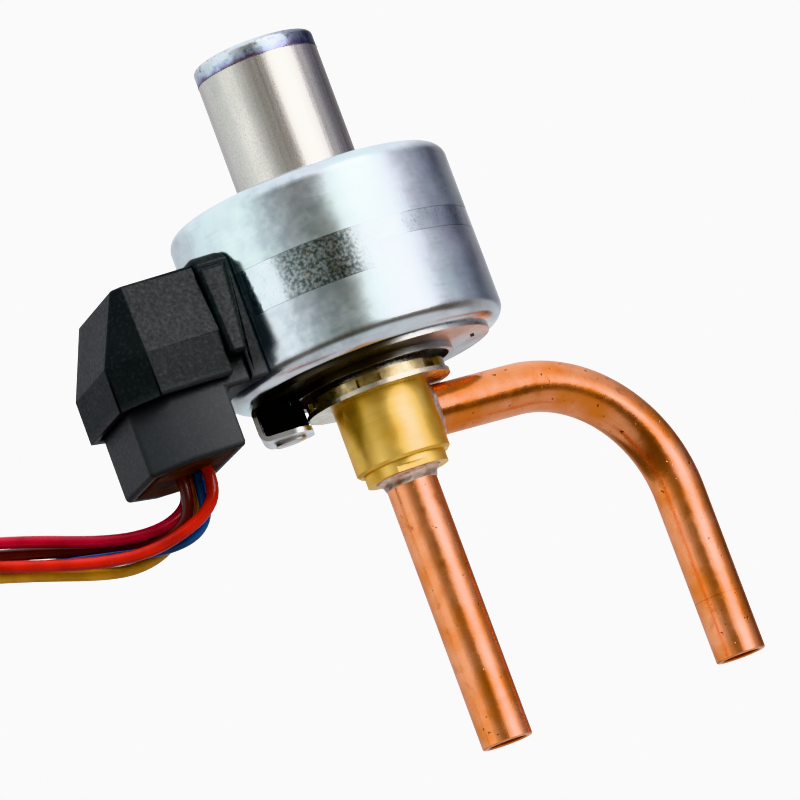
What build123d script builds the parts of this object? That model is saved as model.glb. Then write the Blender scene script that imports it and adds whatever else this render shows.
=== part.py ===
# Electronic expansion valve: a stepping-motor needle valve for a refrigerant circuit.
# The origin is the centre of the outlet tube's open lower end. +Z runs up the valve's axis,
# and +X points towards the inlet tube. All lengths are in millimetres and angles in degrees.

import os
from math import copysign, cos, radians, sin, tan

from build123d import *

os.makedirs("parts", exist_ok=True)

# Copper tubes, soldered into the brass body
tube_radius = 3.175
tube_wall = 0.76
outlet_free_length = 34.3
socket_depth = 3.6
spigot_step = 0.2
spigot_start = 1.1
inlet_run = 18.4
inlet_bend_radius = 17.7
inlet_drop = 21.4
tube_end_chamfer = 0.15
solder_gap = 0.03
solder_leg = 1.15
inlet_solder_leg = 0.6

# Turned brass body
body_radius = 5.95
body_height = 10.0
body_edge = 0.35
collar_step = 0.8
collar_height = 1.4
collar_flat_depth = 0.35
collar_flat_turn = -112
shoulder_width = 0.65
neck_height = 4.0
web_thickness = 1.5
inlet_stop_width = 0.65
inlet_top_wall = 0.125

# Valve seat and needle
seat_radius = 2.6
seat_rise = 0.6
orifice_radius = 0.9
needle_radius = 1.0
needle_tip_radius = 0.3
needle_tip_length = 1.6
needle_taper_length = 2.4
needle_head_radius = 1.75
needle_head_height = 1.0
needle_lift = 2.5
seat_clearance = 0.08

# Needle holder, spring and lead screw
holder_radius = 2.7
holder_wall = 0.65
holder_lip = 0.6
screw_engagement = 2.4
spring_wire_radius = 0.22
spring_coil_radius = 1.35
spring_turns = 4
spring_space = 3.9
screw_radius = 2.0
journal_radius = 1.5
journal_end_gap = 0.46

# Guide nut and the ring that anchors it in the body
nut_barrel_radius = 3.9
nut_flange_setback = 0.5
nut_flange_height = 1.0
nut_skirt = 2.7
nut_skirt_wall = 0.69
nut_thread_length = 6.0
nut_head_room = 0.3
anchor_clearance = 0.204
anchor_thickness = 0.5

# Stops that end the travel at the closed position
stop_ring_height = 0.6
stop_setback = 0.15
stop_dog_height = 1.1
stop_dog_half = 15
stop_overlap = 0.3
stop_gap_angle = 4

# Magnet rotor
rotor_gap = 0.404
magnet_nut_gap = 0.7
magnet_rise = 1.38
magnet_length = 16.0
magnet_flute_radius = 0.35
rotor_poles = 24
hub_height = 3.6
hub_vents = 6
hub_vent_radius = 0.55
retainer_height = 0.5
retainer_radius = 2.5

# Stainless can
can_radius = 7.624
can_wall = 0.32
can_head_room = 14.36
base_ring_height = 3.4
base_spigot = 1.9
cap_height = 2.2
cap_edge = 0.7
cap_spigot = 1.6
cap_dish_depth = 0.35
cap_dish_radius = 5.2
guide_radius = 3.4
guide_length = 7.0

# Castellated lock ring on the shoulder of the body
lock_clearance = 0.526
lock_rim = 0.3
lock_thickness = 0.55
lock_tab_wall = 0.6
lock_tab_height = 1.25
lock_gap_angle = 20
lock_turn = -6.5
lock_tabs = 6

# Two-phase stator: outer shells, inner yokes, bobbins and windings
coil_radius = 17.65
coil_seat = 3.8
lower_phase_height = 11.3
upper_phase_height = 9.1
yoke_thickness = 1.25
shell_wall = 1.0
shell_top_edge = 1.9
shell_bottom_edge = 2.3
bore_clearance = 0.3
claw_setback = 0.08
claw_thickness = 1.0
claw_root = 1.75
claw_tip = 1.0
claw_gap = 0.9
claws = 12
bore_rim = 0.45
tab_turn = -130.5
tab_half_width = 8.4
tab_height = 2.95
seam_gap = 0.04
bobbin_wall = 0.6
bobbin_fit = 0.12
phase_turn = 7.5
spool_gap = 1.45
winding_margin = 0.3
winding_clearance = 0.06

# Lead housing on the side of the stator
housing_turn = 166.5
window_gap = 0.7
window_height = 6.0
block_stand_out = 1.65
block_width = 12.6
block_height = 3.8
block_clearance = 0.25
pin_size = 0.64
pin_pitch = 4.2
pin_row_pitch = 1.8
pins_per_row = 3
pin_rows = 2
pin_hold = 3.3
pin_stand_out = 1.1
cover_drop = 9.0
cover_side_height = 5.5
cover_height = 14.3
cover_wall = 1.2
cover_length = 14.1
cover_half_width = 11.1
cover_chamfer = 3.2
cover_chamfer_reach = 4.5
crown_chamfer = 0.8
crown_chamfer_reach = 1.1
cover_end_draft = 3.8
cover_side_draft = 1.9
cover_edge = 0.5
housing_fit = 0.08
flange_stand_out = 1.95
flange_foot = 2.1
flange_head = 3.6
flange_lip = 1.1
flange_lean = 1.6
flange_start = 2.1
flange_stop = 0.9
neck_setback = 1.5
neck_drop = 1.2
neck_rise = 0.8
neck_edge = 1.6
skirt_drop = 8.3
skirt_overlap = 4.0
skirt_setback = 1.2
skirt_wall = 1.3
potting_recess = 0.9
potting_depth = 3.2
board_thickness = 1.0
board_setback = 2.4
board_side_gap = 3.5
board_rise = 2.8

# Spring bracket under the stator, hooked below the lock ring
bracket_turn = 147
bracket_thickness = 0.6
bracket_setback = 0.15
bracket_hole_clearance = 0.65
bracket_collar = 0.8
slot_setback = 2.2
slot_length = 2.4
slot_width = 0.5
slots = 3
hook_width = 7.6
hook_notch = 0.4
hook_setback = 0.35
hook_strap = 2.45
hook_bend = 1.0
hook_overlap = 0.25
hook_slope = 0.3
hook_clearance = 0.3
hook_corner = 2.2
dimple_length = 4.0
dimple_width = 2.4
dimple_depth = 0.45

# Leads: five stranded wires in PVC, coiled into one hank, with a common plug
lead_turn = 147
lead_radius = 0.75
bend_share = 0.45
hank_out = 44.0
hank_height = -30.0
hank_radius = 25.0
hank_half = 2.45
hank_side_low = -12.1
hank_side_high = 0.9
hank_edge = 1.4
tie_width = 2.5
tie_thickness = 0.9
tie_clearance = 0.12
tie_head = 3.4
tail_side = -0.8
plug_out = 70.6
plug_top = -52.0
plug_height = 9.8
plug_thickness = 5.75
plug_pitch = 2.5
plug_margin = 2.45
plug_edge = 0.3
cavity_size = 1.9
contact_wall = 0.45
contact_length = 7.0

# Radii worked out from the sizes above
tube_bore = tube_radius - tube_wall
spigot_radius = tube_radius - spigot_step
socket_radius = spigot_radius + solder_gap
inlet_socket_radius = tube_radius + solder_gap
holder_bore = holder_radius + seat_clearance
thread_bore = screw_radius + seat_clearance
chamber_radius = holder_bore + nut_skirt_wall + solder_gap
collar_radius = body_radius - collar_step
neck_radius = body_radius - shoulder_width
can_bore = can_radius - can_wall
anchor_radius = can_bore - anchor_clearance
nut_flange_radius = anchor_radius - nut_flange_setback
stop_radius = nut_barrel_radius - stop_setback
magnet_radius = can_bore - rotor_gap
magnet_bore = nut_barrel_radius + magnet_nut_gap
lock_tab_inner = can_radius + lock_clearance
lock_tab_outer = lock_tab_inner + lock_tab_wall
lock_radius = lock_tab_outer + lock_rim
bore_radius = can_radius + bore_clearance
claw_inner = bore_radius + claw_setback
bobbin_inner = claw_inner + claw_thickness + bobbin_fit
spool_core = bobbin_inner + bobbin_wall
spool_radius = coil_radius - shell_wall - spool_gap
winding_radius = spool_radius - winding_margin

# Heights of the body, from the outlet's open end upwards
body_base = outlet_free_length
socket_top = body_base + socket_depth
shoulder = body_base + body_height
neck_end = shoulder + neck_height
chamber_floor = socket_top + web_thickness
seat_top = chamber_floor + seat_rise
inlet_height = shoulder - tube_radius - inlet_top_wall
inlet_start = chamber_radius + inlet_stop_width
inlet_out = inlet_run + inlet_bend_radius
inlet_end = inlet_height - inlet_bend_radius - inlet_drop

# Heights of the rotor, from the anchor ring upwards, and of what hangs below it down to the seat
magnet_base = neck_end + nut_flange_height + anchor_thickness + magnet_rise
hub_top = magnet_base + magnet_length - retainer_height
hub_base = hub_top - hub_height
nut_top = hub_base - 2 * (stop_ring_height + stop_dog_height) + stop_overlap
thread_base = nut_top - nut_thread_length
holder_top = thread_base - needle_lift - nut_head_room
screw_base = holder_top - screw_engagement
needle_top = screw_base - spring_space
stem_top = needle_top - needle_head_height
needle_tip = seat_top - needle_tip_length + seat_clearance
holder_base = stem_top - holder_lip - seat_clearance

# Heights of the can's top, from the room that the open rotor needs
guide_bottom = hub_top + can_head_room
guide_top = guide_bottom + guide_length
journal_top = guide_top - needle_lift - journal_end_gap
can_top = guide_top - cap_spigot / 2
cap_top = can_top + cap_height

# Heights of the stator and its bracket
coil_bottom = shoulder + coil_seat
seam_lower = coil_bottom + lower_phase_height
yoke_middle = seam_lower + yoke_thickness
seam_upper = yoke_middle + yoke_thickness
coil_top = seam_upper + upper_phase_height
bracket_top = coil_bottom
bracket_bottom = bracket_top - bracket_thickness

# Heights and distances of the lead housing
block_top = seam_lower - bobbin_fit
pin_height = block_top - block_height / 2
window_bottom = seam_lower - window_height
window_width = block_width + 2 * window_gap
block_reach = coil_radius + block_stand_out
pin_root = block_reach - pin_hold
cover_bottom = seam_lower - cover_drop
cover_kink = cover_bottom + cover_side_height
cover_top = cover_bottom + cover_height
flange_face = coil_radius + flange_stand_out
flange_half_width = cover_half_width + flange_lip
flange_bottom = cover_bottom + flange_start
flange_top = cover_top - flange_stop
cover_end = flange_face + cover_length
neck_half_width = cover_half_width - neck_setback
neck_bottom = cover_bottom - neck_drop
neck_top = cover_top + neck_rise
skirt_bottom = cover_bottom - skirt_drop
skirt_top = cover_bottom + skirt_overlap
skirt_inner = flange_face + skirt_setback
skirt_inset = cover_wall + housing_fit
board_place = skirt_inner + board_setback
board_half_width = cover_half_width - board_side_gap

# Distances of the bracket and its hook
bracket_radius = coil_radius - shell_bottom_edge - bracket_setback
bracket_hole = lock_radius + bracket_hole_clearance
slot_circle = bracket_radius - slot_setback
hook_leg = bracket_radius - hook_setback
hook_root = hook_leg - hook_strap
hook_reach = lock_radius - hook_overlap


# Planes: flat at a height, and standing on edge through the axis, both turned about it
def level(angle, height):
    return Plane(origin=(0, 0, height), x_dir=(cos(radians(angle)), sin(radians(angle)), 0), z_dir=(0, 0, 1))


def upright(angle):
    return Plane(
        origin=(0, 0, 0),
        x_dir=(cos(radians(angle)), sin(radians(angle)), 0),
        z_dir=(sin(radians(angle)), -cos(radians(angle)), 0),
    )


# Plane that faces outwards at a turn and a distance from the axis, with its own Y along +Z
def facing(angle, distance):
    return Plane(
        origin=(distance * cos(radians(angle)), distance * sin(radians(angle)), 0),
        x_dir=(-sin(radians(angle)), cos(radians(angle)), 0),
        z_dir=(cos(radians(angle)), sin(radians(angle)), 0),
    )


# Sector of a ring about the axis
def ring_sector(middle_angle, half_angle, height, inner_radius, outer_radius):
    reach = outer_radius * tan(radians(half_angle))
    with BuildSketch(level(middle_angle, height)) as sector:
        with BuildLine():
            Polyline((0, 0), (outer_radius, -reach), (outer_radius, reach), close=True)
        make_face()
        Circle(outer_radius, mode=Mode.INTERSECT)
        Circle(inner_radius, mode=Mode.SUBTRACT)
    return sector.sketch


# Outlet tube, straight down from the brass body. Its upper end is sized down to enter the socket
spigot_base = body_base - spigot_start
with BuildPart() as outlet_tube:
    with BuildSketch():
        Circle(tube_radius)
    extrude(amount=spigot_base)
    with BuildSketch(Plane.XY.offset(spigot_base)):
        Circle(spigot_radius)
    extrude(amount=socket_top - spigot_base)
    with BuildSketch():
        Circle(tube_bore)
    extrude(amount=socket_top, mode=Mode.SUBTRACT)
    chamfer(outlet_tube.edges().group_by(Axis.Z)[0], tube_end_chamfer)
outlet_tube.part.label = "outlet_tube"
export_step(outlet_tube.part, "parts/outlet_tube.step")

# Inlet tube: out of the side of the body, round a quarter bend and down beside the outlet
with BuildPart() as inlet_tube:
    with BuildLine():
        FilletPolyline(
            (inlet_start, 0, inlet_height),
            (inlet_out, 0, inlet_height),
            (inlet_out, 0, inlet_end),
            radius=inlet_bend_radius,
        )
    with BuildSketch(Plane(origin=(inlet_start, 0, inlet_height), z_dir=(1, 0, 0))):
        Circle(tube_radius)
        Circle(tube_bore, mode=Mode.SUBTRACT)
    sweep()
    chamfer(inlet_tube.edges().group_by(Axis.Z)[0], tube_end_chamfer)
inlet_tube.part.label = "inlet_tube"
export_step(inlet_tube.part, "parts/inlet_tube.step")

# Brass body: collar, barrel and neck outside, tube socket, seat web and valve chamber inside
with BuildPart() as valve_body:
    with BuildSketch(Plane.XZ):
        with BuildLine():
            Polyline(
                (socket_radius, body_base),
                (collar_radius, body_base),
                (collar_radius, body_base + collar_height),
                (body_radius, body_base + collar_height),
                (body_radius, shoulder),
                (neck_radius, shoulder),
                (neck_radius, neck_end),
                (chamber_radius, neck_end),
                (chamber_radius, chamber_floor),
                (seat_radius + solder_gap, chamber_floor),
                (seat_radius + solder_gap, socket_top),
                (socket_radius, socket_top),
                close=True,
            )
        make_face()
    revolve(axis=Axis.Z)
    barrel_rims = valve_body.edges().filter_by(GeomType.CIRCLE)
    barrel_rims = barrel_rims.filter_by(lambda rim: abs(rim.radius - body_radius) < solder_gap)
    chamfer(barrel_rims.group_by(Axis.Z)[0], body_edge)
    with BuildSketch(Plane.YZ):
        with Locations((0, inlet_height)):
            Circle(tube_bore)
    extrude(amount=body_radius, mode=Mode.SUBTRACT)
    with BuildSketch(Plane.YZ.offset(inlet_start)):
        with Locations((0, inlet_height)):
            Circle(inlet_socket_radius)
    extrude(amount=body_radius, mode=Mode.SUBTRACT)
    with BuildSketch(level(collar_flat_turn, body_base)):
        with Locations((collar_radius, 0)):
            Rectangle(2 * collar_flat_depth, 2 * collar_radius)
    extrude(amount=collar_height / 2, mode=Mode.SUBTRACT)
valve_body.part.label = "valve_body"
export_step(valve_body.part, "parts/valve_body.step")

# Solder fillets at the roots of both tubes
with BuildPart() as outlet_solder:
    with BuildSketch(Plane.XZ):
        with BuildLine():
            foot = (tube_radius + solder_gap + solder_leg, body_base - solder_gap)
            tip = (tube_radius + solder_gap, body_base - solder_gap - solder_leg)
            RadiusArc(foot, tip, -1.3 * solder_leg)
            Polyline(
                tip,
                (tube_radius + solder_gap, spigot_base + solder_gap),
                (socket_radius, spigot_base + solder_gap),
                (socket_radius, body_base - solder_gap),
                foot,
            )
        make_face()
    revolve(axis=Axis.Z)
outlet_solder.part.label = "outlet_solder"
export_step(outlet_solder.part, "parts/outlet_solder.step")

with BuildPart() as inlet_solder:
    with BuildSketch(Plane.XZ):
        with BuildLine():
            root = body_radius - solder_leg
            rise = inlet_height + inlet_socket_radius
            foot = (body_radius + solder_gap, rise + inlet_solder_leg)
            tip = (body_radius + solder_gap + inlet_solder_leg, rise)
            RadiusArc(foot, tip, 1.3 * inlet_solder_leg)
            Polyline(tip, (root, rise), (root, rise + inlet_solder_leg), foot)
        make_face()
    revolve(axis=Axis((0, 0, inlet_height), (1, 0, 0)))
    with BuildSketch(level(0, body_base)):
        Circle(body_radius + solder_gap)
    extrude(amount=2 * body_height, mode=Mode.SUBTRACT)
    split(bisect_by=Plane.XY.offset(shoulder - solder_gap), keep=Keep.BOTTOM)
inlet_solder.part.label = "inlet_solder"
export_step(inlet_solder.part, "parts/inlet_solder.step")

# Seat: hard ring pressed into the web, with the metering orifice
with BuildPart() as valve_seat:
    with BuildSketch(Plane.XZ):
        with BuildLine():
            Polyline(
                (orifice_radius, socket_top + solder_gap),
                (seat_radius, socket_top + solder_gap),
                (seat_radius, chamber_floor),
                (orifice_radius + 2 * seat_rise, seat_top),
                (orifice_radius + seat_rise / 2, seat_top),
                (orifice_radius, seat_top - seat_rise / 2),
                close=True,
            )
        make_face()
    revolve(axis=Axis.Z)
valve_seat.part.label = "valve_seat"
export_step(valve_seat.part, "parts/valve_seat.step")

# Needle: tapered tip in the orifice, stem, and a head held by the lip of the holder
with BuildPart() as valve_needle:
    with BuildSketch(Plane.XZ):
        with BuildLine():
            Polyline(
                (0, needle_tip),
                (needle_tip_radius, needle_tip),
                (needle_radius, needle_tip + needle_taper_length),
                (needle_radius, stem_top),
                (needle_head_radius, stem_top),
                (needle_head_radius, stem_top + needle_head_height),
                (0, stem_top + needle_head_height),
                close=True,
            )
        make_face()
    revolve(axis=Axis.Z)
valve_needle.part.label = "valve_needle"
export_step(valve_needle.part, "parts/valve_needle.step")

# Holder: a cup crimped on the foot of the screw, with a lip under the needle's head
with BuildPart() as needle_holder:
    with BuildSketch(Plane.XZ):
        with BuildLine():
            Polyline(
                (needle_radius + seat_clearance, holder_base),
                (holder_radius, holder_base),
                (holder_radius, holder_top),
                (screw_radius + solder_gap, holder_top),
                (screw_radius + solder_gap, holder_base + holder_lip),
                (needle_radius + seat_clearance, holder_base + holder_lip),
                close=True,
            )
        make_face()
    revolve(axis=Axis.Z)
needle_holder.part.label = "needle_holder"
export_step(needle_holder.part, "parts/needle_holder.step")

# Spring between the needle's head and the screw
spring_foot = needle_top + spring_wire_radius + seat_clearance
spring_height = spring_space - 2 * (spring_wire_radius + seat_clearance)
with BuildPart() as needle_spring:
    with BuildLine() as spring_route:
        Helix(spring_height / spring_turns, spring_height, spring_coil_radius, center=(0, 0, spring_foot))
    with BuildSketch(Plane(origin=spring_route.line @ 0, z_dir=spring_route.line % 0)):
        Circle(spring_wire_radius)
    sweep(is_frenet=True)
needle_spring.part.label = "needle_spring"
export_step(needle_spring.part, "parts/needle_spring.step")

# Lead screw: threaded length below, plain journal above for the upper guide
with BuildPart() as lead_screw:
    with BuildSketch(Plane.XZ):
        with BuildLine():
            Polyline(
                (0, screw_base),
                (screw_radius, screw_base),
                (screw_radius, hub_top),
                (journal_radius, hub_top),
                (journal_radius, journal_top),
                (0, journal_top),
                close=True,
            )
        make_face()
    revolve(axis=Axis.Z)
    chamfer(lead_screw.edges().group_by(Axis.Z)[-1], journal_radius / 4)
lead_screw.part.label = "lead_screw"
export_step(lead_screw.part, "parts/lead_screw.step")

# Guide nut: skirt in the chamber, flange on the neck, threaded barrel inside the rotor
with BuildPart() as guide_nut:
    with BuildSketch(Plane.XZ):
        with BuildLine():
            Polyline(
                (holder_bore, neck_end - nut_skirt),
                (chamber_radius - solder_gap, neck_end - nut_skirt),
                (chamber_radius - solder_gap, neck_end),
                (nut_flange_radius, neck_end),
                (nut_flange_radius, neck_end + nut_flange_height),
                (nut_barrel_radius, neck_end + nut_flange_height),
                (nut_barrel_radius, nut_top),
                (thread_bore, nut_top),
                (thread_bore, thread_base),
                (holder_bore, thread_base),
                close=True,
            )
        make_face()
    revolve(axis=Axis.Z)
guide_nut.part.label = "guide_nut"
export_step(guide_nut.part, "parts/guide_nut.step")

# Anchor ring over the nut's flange, welded to the base ring
with BuildPart() as nut_anchor:
    with BuildSketch(Plane.XY.offset(neck_end + nut_flange_height)):
        Circle(anchor_radius)
        Circle(nut_barrel_radius + solder_gap, mode=Mode.SUBTRACT)
    extrude(amount=anchor_thickness)
nut_anchor.part.label = "nut_anchor"
export_step(nut_anchor.part, "parts/nut_anchor.step")

# Stops: one ring with a dog on the nut, one under the hub. They part after one turn of the rotor
stop_bore = screw_radius + 2 * seat_clearance
fixed_ring_top = nut_top + stop_ring_height
moving_dog_turn = 2 * stop_dog_half + stop_gap_angle
moving_dog_base = fixed_ring_top + stop_dog_height - stop_overlap
with BuildPart() as fixed_stop:
    with BuildSketch(Plane.XY.offset(nut_top)):
        Circle(stop_radius)
        Circle(stop_bore, mode=Mode.SUBTRACT)
    extrude(amount=stop_ring_height)
    extrude(ring_sector(0, stop_dog_half, fixed_ring_top, stop_bore, stop_radius), amount=stop_dog_height)
fixed_stop.part.label = "fixed_stop"
export_step(fixed_stop.part, "parts/fixed_stop.step")

with BuildPart() as moving_stop:
    with BuildSketch(Plane.XY.offset(hub_base - stop_ring_height)):
        Circle(stop_radius)
        Circle(screw_radius + solder_gap, mode=Mode.SUBTRACT)
    extrude(amount=stop_ring_height)
    moving_dog = ring_sector(moving_dog_turn, stop_dog_half, moving_dog_base, stop_bore, stop_radius)
    extrude(moving_dog, amount=stop_dog_height)
moving_stop.part.label = "moving_stop"
export_step(moving_stop.part, "parts/moving_stop.step")

# Rotor hub: a vented disc fixed on the screw and bonded in the magnet's bore
with BuildPart() as rotor_hub:
    with BuildSketch(Plane.XY.offset(hub_base)):
        Circle(magnet_bore - solder_gap)
        Circle(screw_radius + solder_gap, mode=Mode.SUBTRACT)
        with PolarLocations((magnet_bore + screw_radius) / 2, hub_vents):
            Circle(hub_vent_radius, mode=Mode.SUBTRACT)
    extrude(amount=hub_height)
rotor_hub.part.label = "rotor_hub"
export_step(rotor_hub.part, "parts/rotor_hub.step")

# Magnet ring: fluted outside between its poles
with BuildPart() as rotor_magnet:
    with BuildSketch(Plane.XY.offset(magnet_base)):
        Circle(magnet_radius)
        Circle(magnet_bore, mode=Mode.SUBTRACT)
        with PolarLocations(magnet_radius + magnet_flute_radius / 2, rotor_poles):
            Circle(magnet_flute_radius, mode=Mode.SUBTRACT)
    extrude(amount=magnet_length)
rotor_magnet.part.label = "rotor_magnet"
export_step(rotor_magnet.part, "parts/rotor_magnet.step")

# Retainer washer that keeps the hub on the screw
with BuildPart() as hub_retainer:
    with BuildSketch(Plane.XY.offset(hub_top)):
        Circle(retainer_radius)
        Circle(journal_radius + solder_gap, mode=Mode.SUBTRACT)
    extrude(amount=retainer_height)
hub_retainer.part.label = "hub_retainer"
export_step(hub_retainer.part, "parts/hub_retainer.step")

# Base ring: joins the brass neck to the can
base_ring_bottom = neck_end - base_ring_height
can_bottom = neck_end - base_spigot
with BuildPart() as base_ring:
    with BuildSketch(Plane.XZ):
        with BuildLine():
            Polyline(
                (neck_radius + solder_gap, base_ring_bottom),
                (can_radius, base_ring_bottom),
                (can_radius, can_bottom),
                (can_bore - solder_gap, can_bottom),
                (can_bore - solder_gap, neck_end),
                (neck_radius + solder_gap, neck_end),
                close=True,
            )
        make_face()
    revolve(axis=Axis.Z)
base_ring.part.label = "base_ring"
export_step(base_ring.part, "parts/base_ring.step")

# Can sleeve: thin stainless tube, so that the stator's field reaches the rotor
with BuildPart() as can_sleeve:
    with BuildSketch(Plane.XY.offset(can_bottom + solder_gap)):
        Circle(can_radius)
        Circle(can_bore, mode=Mode.SUBTRACT)
    extrude(amount=can_top - can_bottom - 2 * solder_gap)
can_sleeve.part.label = "can_sleeve"
export_step(can_sleeve.part, "parts/can_sleeve.step")

# Cap: welded on the sleeve, dished on top, with a pocket below for the upper guide
with BuildPart() as can_cap:
    with BuildSketch(Plane.XZ):
        with BuildLine():
            Polyline(
                (0, guide_top),
                (guide_radius + solder_gap, guide_top),
                (guide_radius + solder_gap, can_top - cap_spigot),
                (can_bore - solder_gap, can_top - cap_spigot),
                (can_bore - solder_gap, can_top),
                (can_radius, can_top),
                (can_radius, cap_top),
                (cap_dish_radius, cap_top),
                (cap_dish_radius - cap_dish_depth, cap_top - cap_dish_depth),
                (0, cap_top - cap_dish_depth),
                close=True,
            )
        make_face()
    revolve(axis=Axis.Z)
    rim = can_cap.edges().filter_by(GeomType.CIRCLE).group_by(Axis.Z)[-1].sort_by(SortBy.RADIUS)[-1]
    fillet(rim, cap_edge)
can_cap.part.label = "can_cap"
export_step(can_cap.part, "parts/can_cap.step")

# Upper guide: bush in the cap round the screw's journal
with BuildPart() as upper_guide:
    with BuildSketch(Plane.XY.offset(guide_bottom)):
        Circle(guide_radius)
        Circle(journal_radius + seat_clearance, mode=Mode.SUBTRACT)
    extrude(amount=guide_length - solder_gap)
    chamfer(upper_guide.edges().group_by(Axis.Z)[0], journal_radius / 5)
upper_guide.part.label = "upper_guide"
export_step(upper_guide.part, "parts/upper_guide.step")

# Lock ring: a washer on the shoulder with upright castellations, which index the bracket
with BuildPart() as lock_ring:
    with BuildSketch(Plane.XY.offset(shoulder)):
        Circle(lock_radius)
        Circle(neck_radius + solder_gap, mode=Mode.SUBTRACT)
    extrude(amount=lock_thickness)
    with BuildSketch(Plane.XY.offset(shoulder + lock_thickness)):
        Circle(lock_tab_outer)
        Circle(lock_tab_inner, mode=Mode.SUBTRACT)
        with PolarLocations(lock_tab_outer, lock_tabs, start_angle=lock_turn):
            Rectangle(
                4 * lock_tab_wall,
                2 * lock_tab_outer * sin(radians(lock_gap_angle / 2)),
                mode=Mode.SUBTRACT,
            )
    extrude(amount=lock_tab_height)
lock_ring.part.label = "lock_ring"
export_step(lock_ring.part, "parts/lock_ring.step")


# Pole claws round the bore: each has its root on a yoke and tapers towards the yoke opposite
def claw_face(turn, root_height, length):
    root_depth = copysign(shell_wall / 2, length)
    with BuildSketch(facing(turn, claw_inner)) as face:
        with BuildLine():
            Polyline(
                (-claw_root / 2, root_height),
                (-claw_root / 2, root_height - root_depth),
                (claw_root / 2, root_height - root_depth),
                (claw_root / 2, root_height),
                (claw_tip / 2, root_height + length),
                (-claw_tip / 2, root_height + length),
                close=True,
            )
        make_face()
    return face.sketch


# Drawn cup of one phase, from its rim at the seam to its closed end
def shell_cup(rim_height, end_height, edge_radius):
    inward = shell_wall if rim_height > end_height else -shell_wall
    with BuildSketch(Plane.XZ) as profile:
        with BuildLine():
            FilletPolyline(
                (bore_radius, end_height + inward),
                (bore_radius, end_height),
                (coil_radius, end_height),
                (coil_radius, rim_height),
                radius=[bore_rim, edge_radius],
            )
            FilletPolyline(
                (coil_radius, rim_height),
                (coil_radius - shell_wall, rim_height),
                (coil_radius - shell_wall, end_height + inward),
                (bore_radius, end_height + inward),
                radius=[shell_wall / 8, edge_radius - shell_wall],
            )
        make_face()
    return profile.sketch


claw_pitch = 360 / claws
lower_floor = coil_bottom + shell_wall
upper_ceiling = coil_top - shell_wall
lower_claw = seam_lower - lower_floor - claw_gap
upper_claw = upper_ceiling - seam_upper - claw_gap

# Lower shell: claws up, a window for the terminal block and a notch for the locating tab
with BuildPart() as lower_shell:
    revolve(shell_cup(seam_lower - seam_gap, coil_bottom, shell_bottom_edge), axis=Axis.Z)
    for index in range(claws):
        extrude(claw_face(index * claw_pitch, lower_floor, lower_claw), amount=claw_thickness)
    with BuildSketch(level(housing_turn, window_bottom)):
        with Locations((coil_radius, 0)):
            Rectangle(2 * (coil_radius - winding_radius), window_width)
    extrude(amount=seam_lower - window_bottom, mode=Mode.SUBTRACT)
    with BuildSketch(facing(tab_turn, 0)):
        with Locations((0, seam_lower)):
            Rectangle(2 * tab_half_width + 2 * seam_gap, 2 * (tab_height + seam_gap))
    extrude(amount=2 * coil_radius, mode=Mode.SUBTRACT)
lower_shell.part.label = "lower_shell"
export_step(lower_shell.part, "parts/lower_shell.step")

# Upper shell: the same cup upside down, a quarter of a pole pitch further round
with BuildPart() as upper_shell:
    revolve(shell_cup(seam_upper + seam_gap, coil_top, shell_top_edge), axis=Axis.Z)
    for index in range(claws):
        extrude(claw_face(index * claw_pitch + phase_turn, upper_ceiling, -upper_claw), amount=claw_thickness)
upper_shell.part.label = "upper_shell"
export_step(upper_shell.part, "parts/upper_shell.step")

# Lower inner yoke: flat ring with claws down and the tab that locates the two halves
with BuildPart() as lower_yoke:
    with BuildSketch(Plane.XY.offset(seam_lower)):
        Circle(coil_radius)
        Circle(bore_radius, mode=Mode.SUBTRACT)
    extrude(amount=yoke_thickness)
    for index in range(claws):
        extrude(claw_face((index + 0.5) * claw_pitch, seam_lower, -lower_claw), amount=claw_thickness)
    with BuildSketch(level(tab_turn, seam_lower - tab_height)):
        with Locations((coil_radius, 0)):
            Rectangle(coil_radius, 2 * tab_half_width)
        Circle(coil_radius, mode=Mode.INTERSECT)
        Circle(coil_radius - shell_wall, mode=Mode.SUBTRACT)
    extrude(amount=tab_height)
lower_yoke.part.label = "lower_yoke"
export_step(lower_yoke.part, "parts/lower_yoke.step")

# Upper inner yoke: back to back with the lower one, claws up
with BuildPart() as upper_yoke:
    with BuildSketch(Plane.XY.offset(yoke_middle)):
        Circle(coil_radius)
        Circle(bore_radius, mode=Mode.SUBTRACT)
    extrude(amount=yoke_thickness)
    for index in range(claws):
        turn = (index + 0.5) * claw_pitch + phase_turn
        extrude(claw_face(turn, seam_upper, upper_claw), amount=claw_thickness)
upper_yoke.part.label = "upper_yoke"
export_step(upper_yoke.part, "parts/upper_yoke.step")

# Spool of one phase, and the wire wound on it to just below its rims
def spool(floor, ceiling):
    with BuildSketch(Plane.XZ) as profile:
        with BuildLine():
            Polyline(
                (bobbin_inner, floor),
                (spool_radius, floor),
                (spool_radius, floor + bobbin_wall),
                (spool_core, floor + bobbin_wall),
                (spool_core, ceiling - bobbin_wall),
                (spool_radius, ceiling - bobbin_wall),
                (spool_radius, ceiling),
                (bobbin_inner, ceiling),
                close=True,
            )
        make_face()
    return profile.sketch


def winding(floor, ceiling):
    margin = bobbin_fit + bobbin_wall + winding_clearance
    with BuildSketch(Plane.XZ) as profile:
        with Locations(((spool_core + winding_clearance + winding_radius) / 2, (floor + ceiling) / 2)):
            Rectangle(winding_radius - spool_core - winding_clearance, ceiling - floor - 2 * margin)
    return profile.sketch


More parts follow.
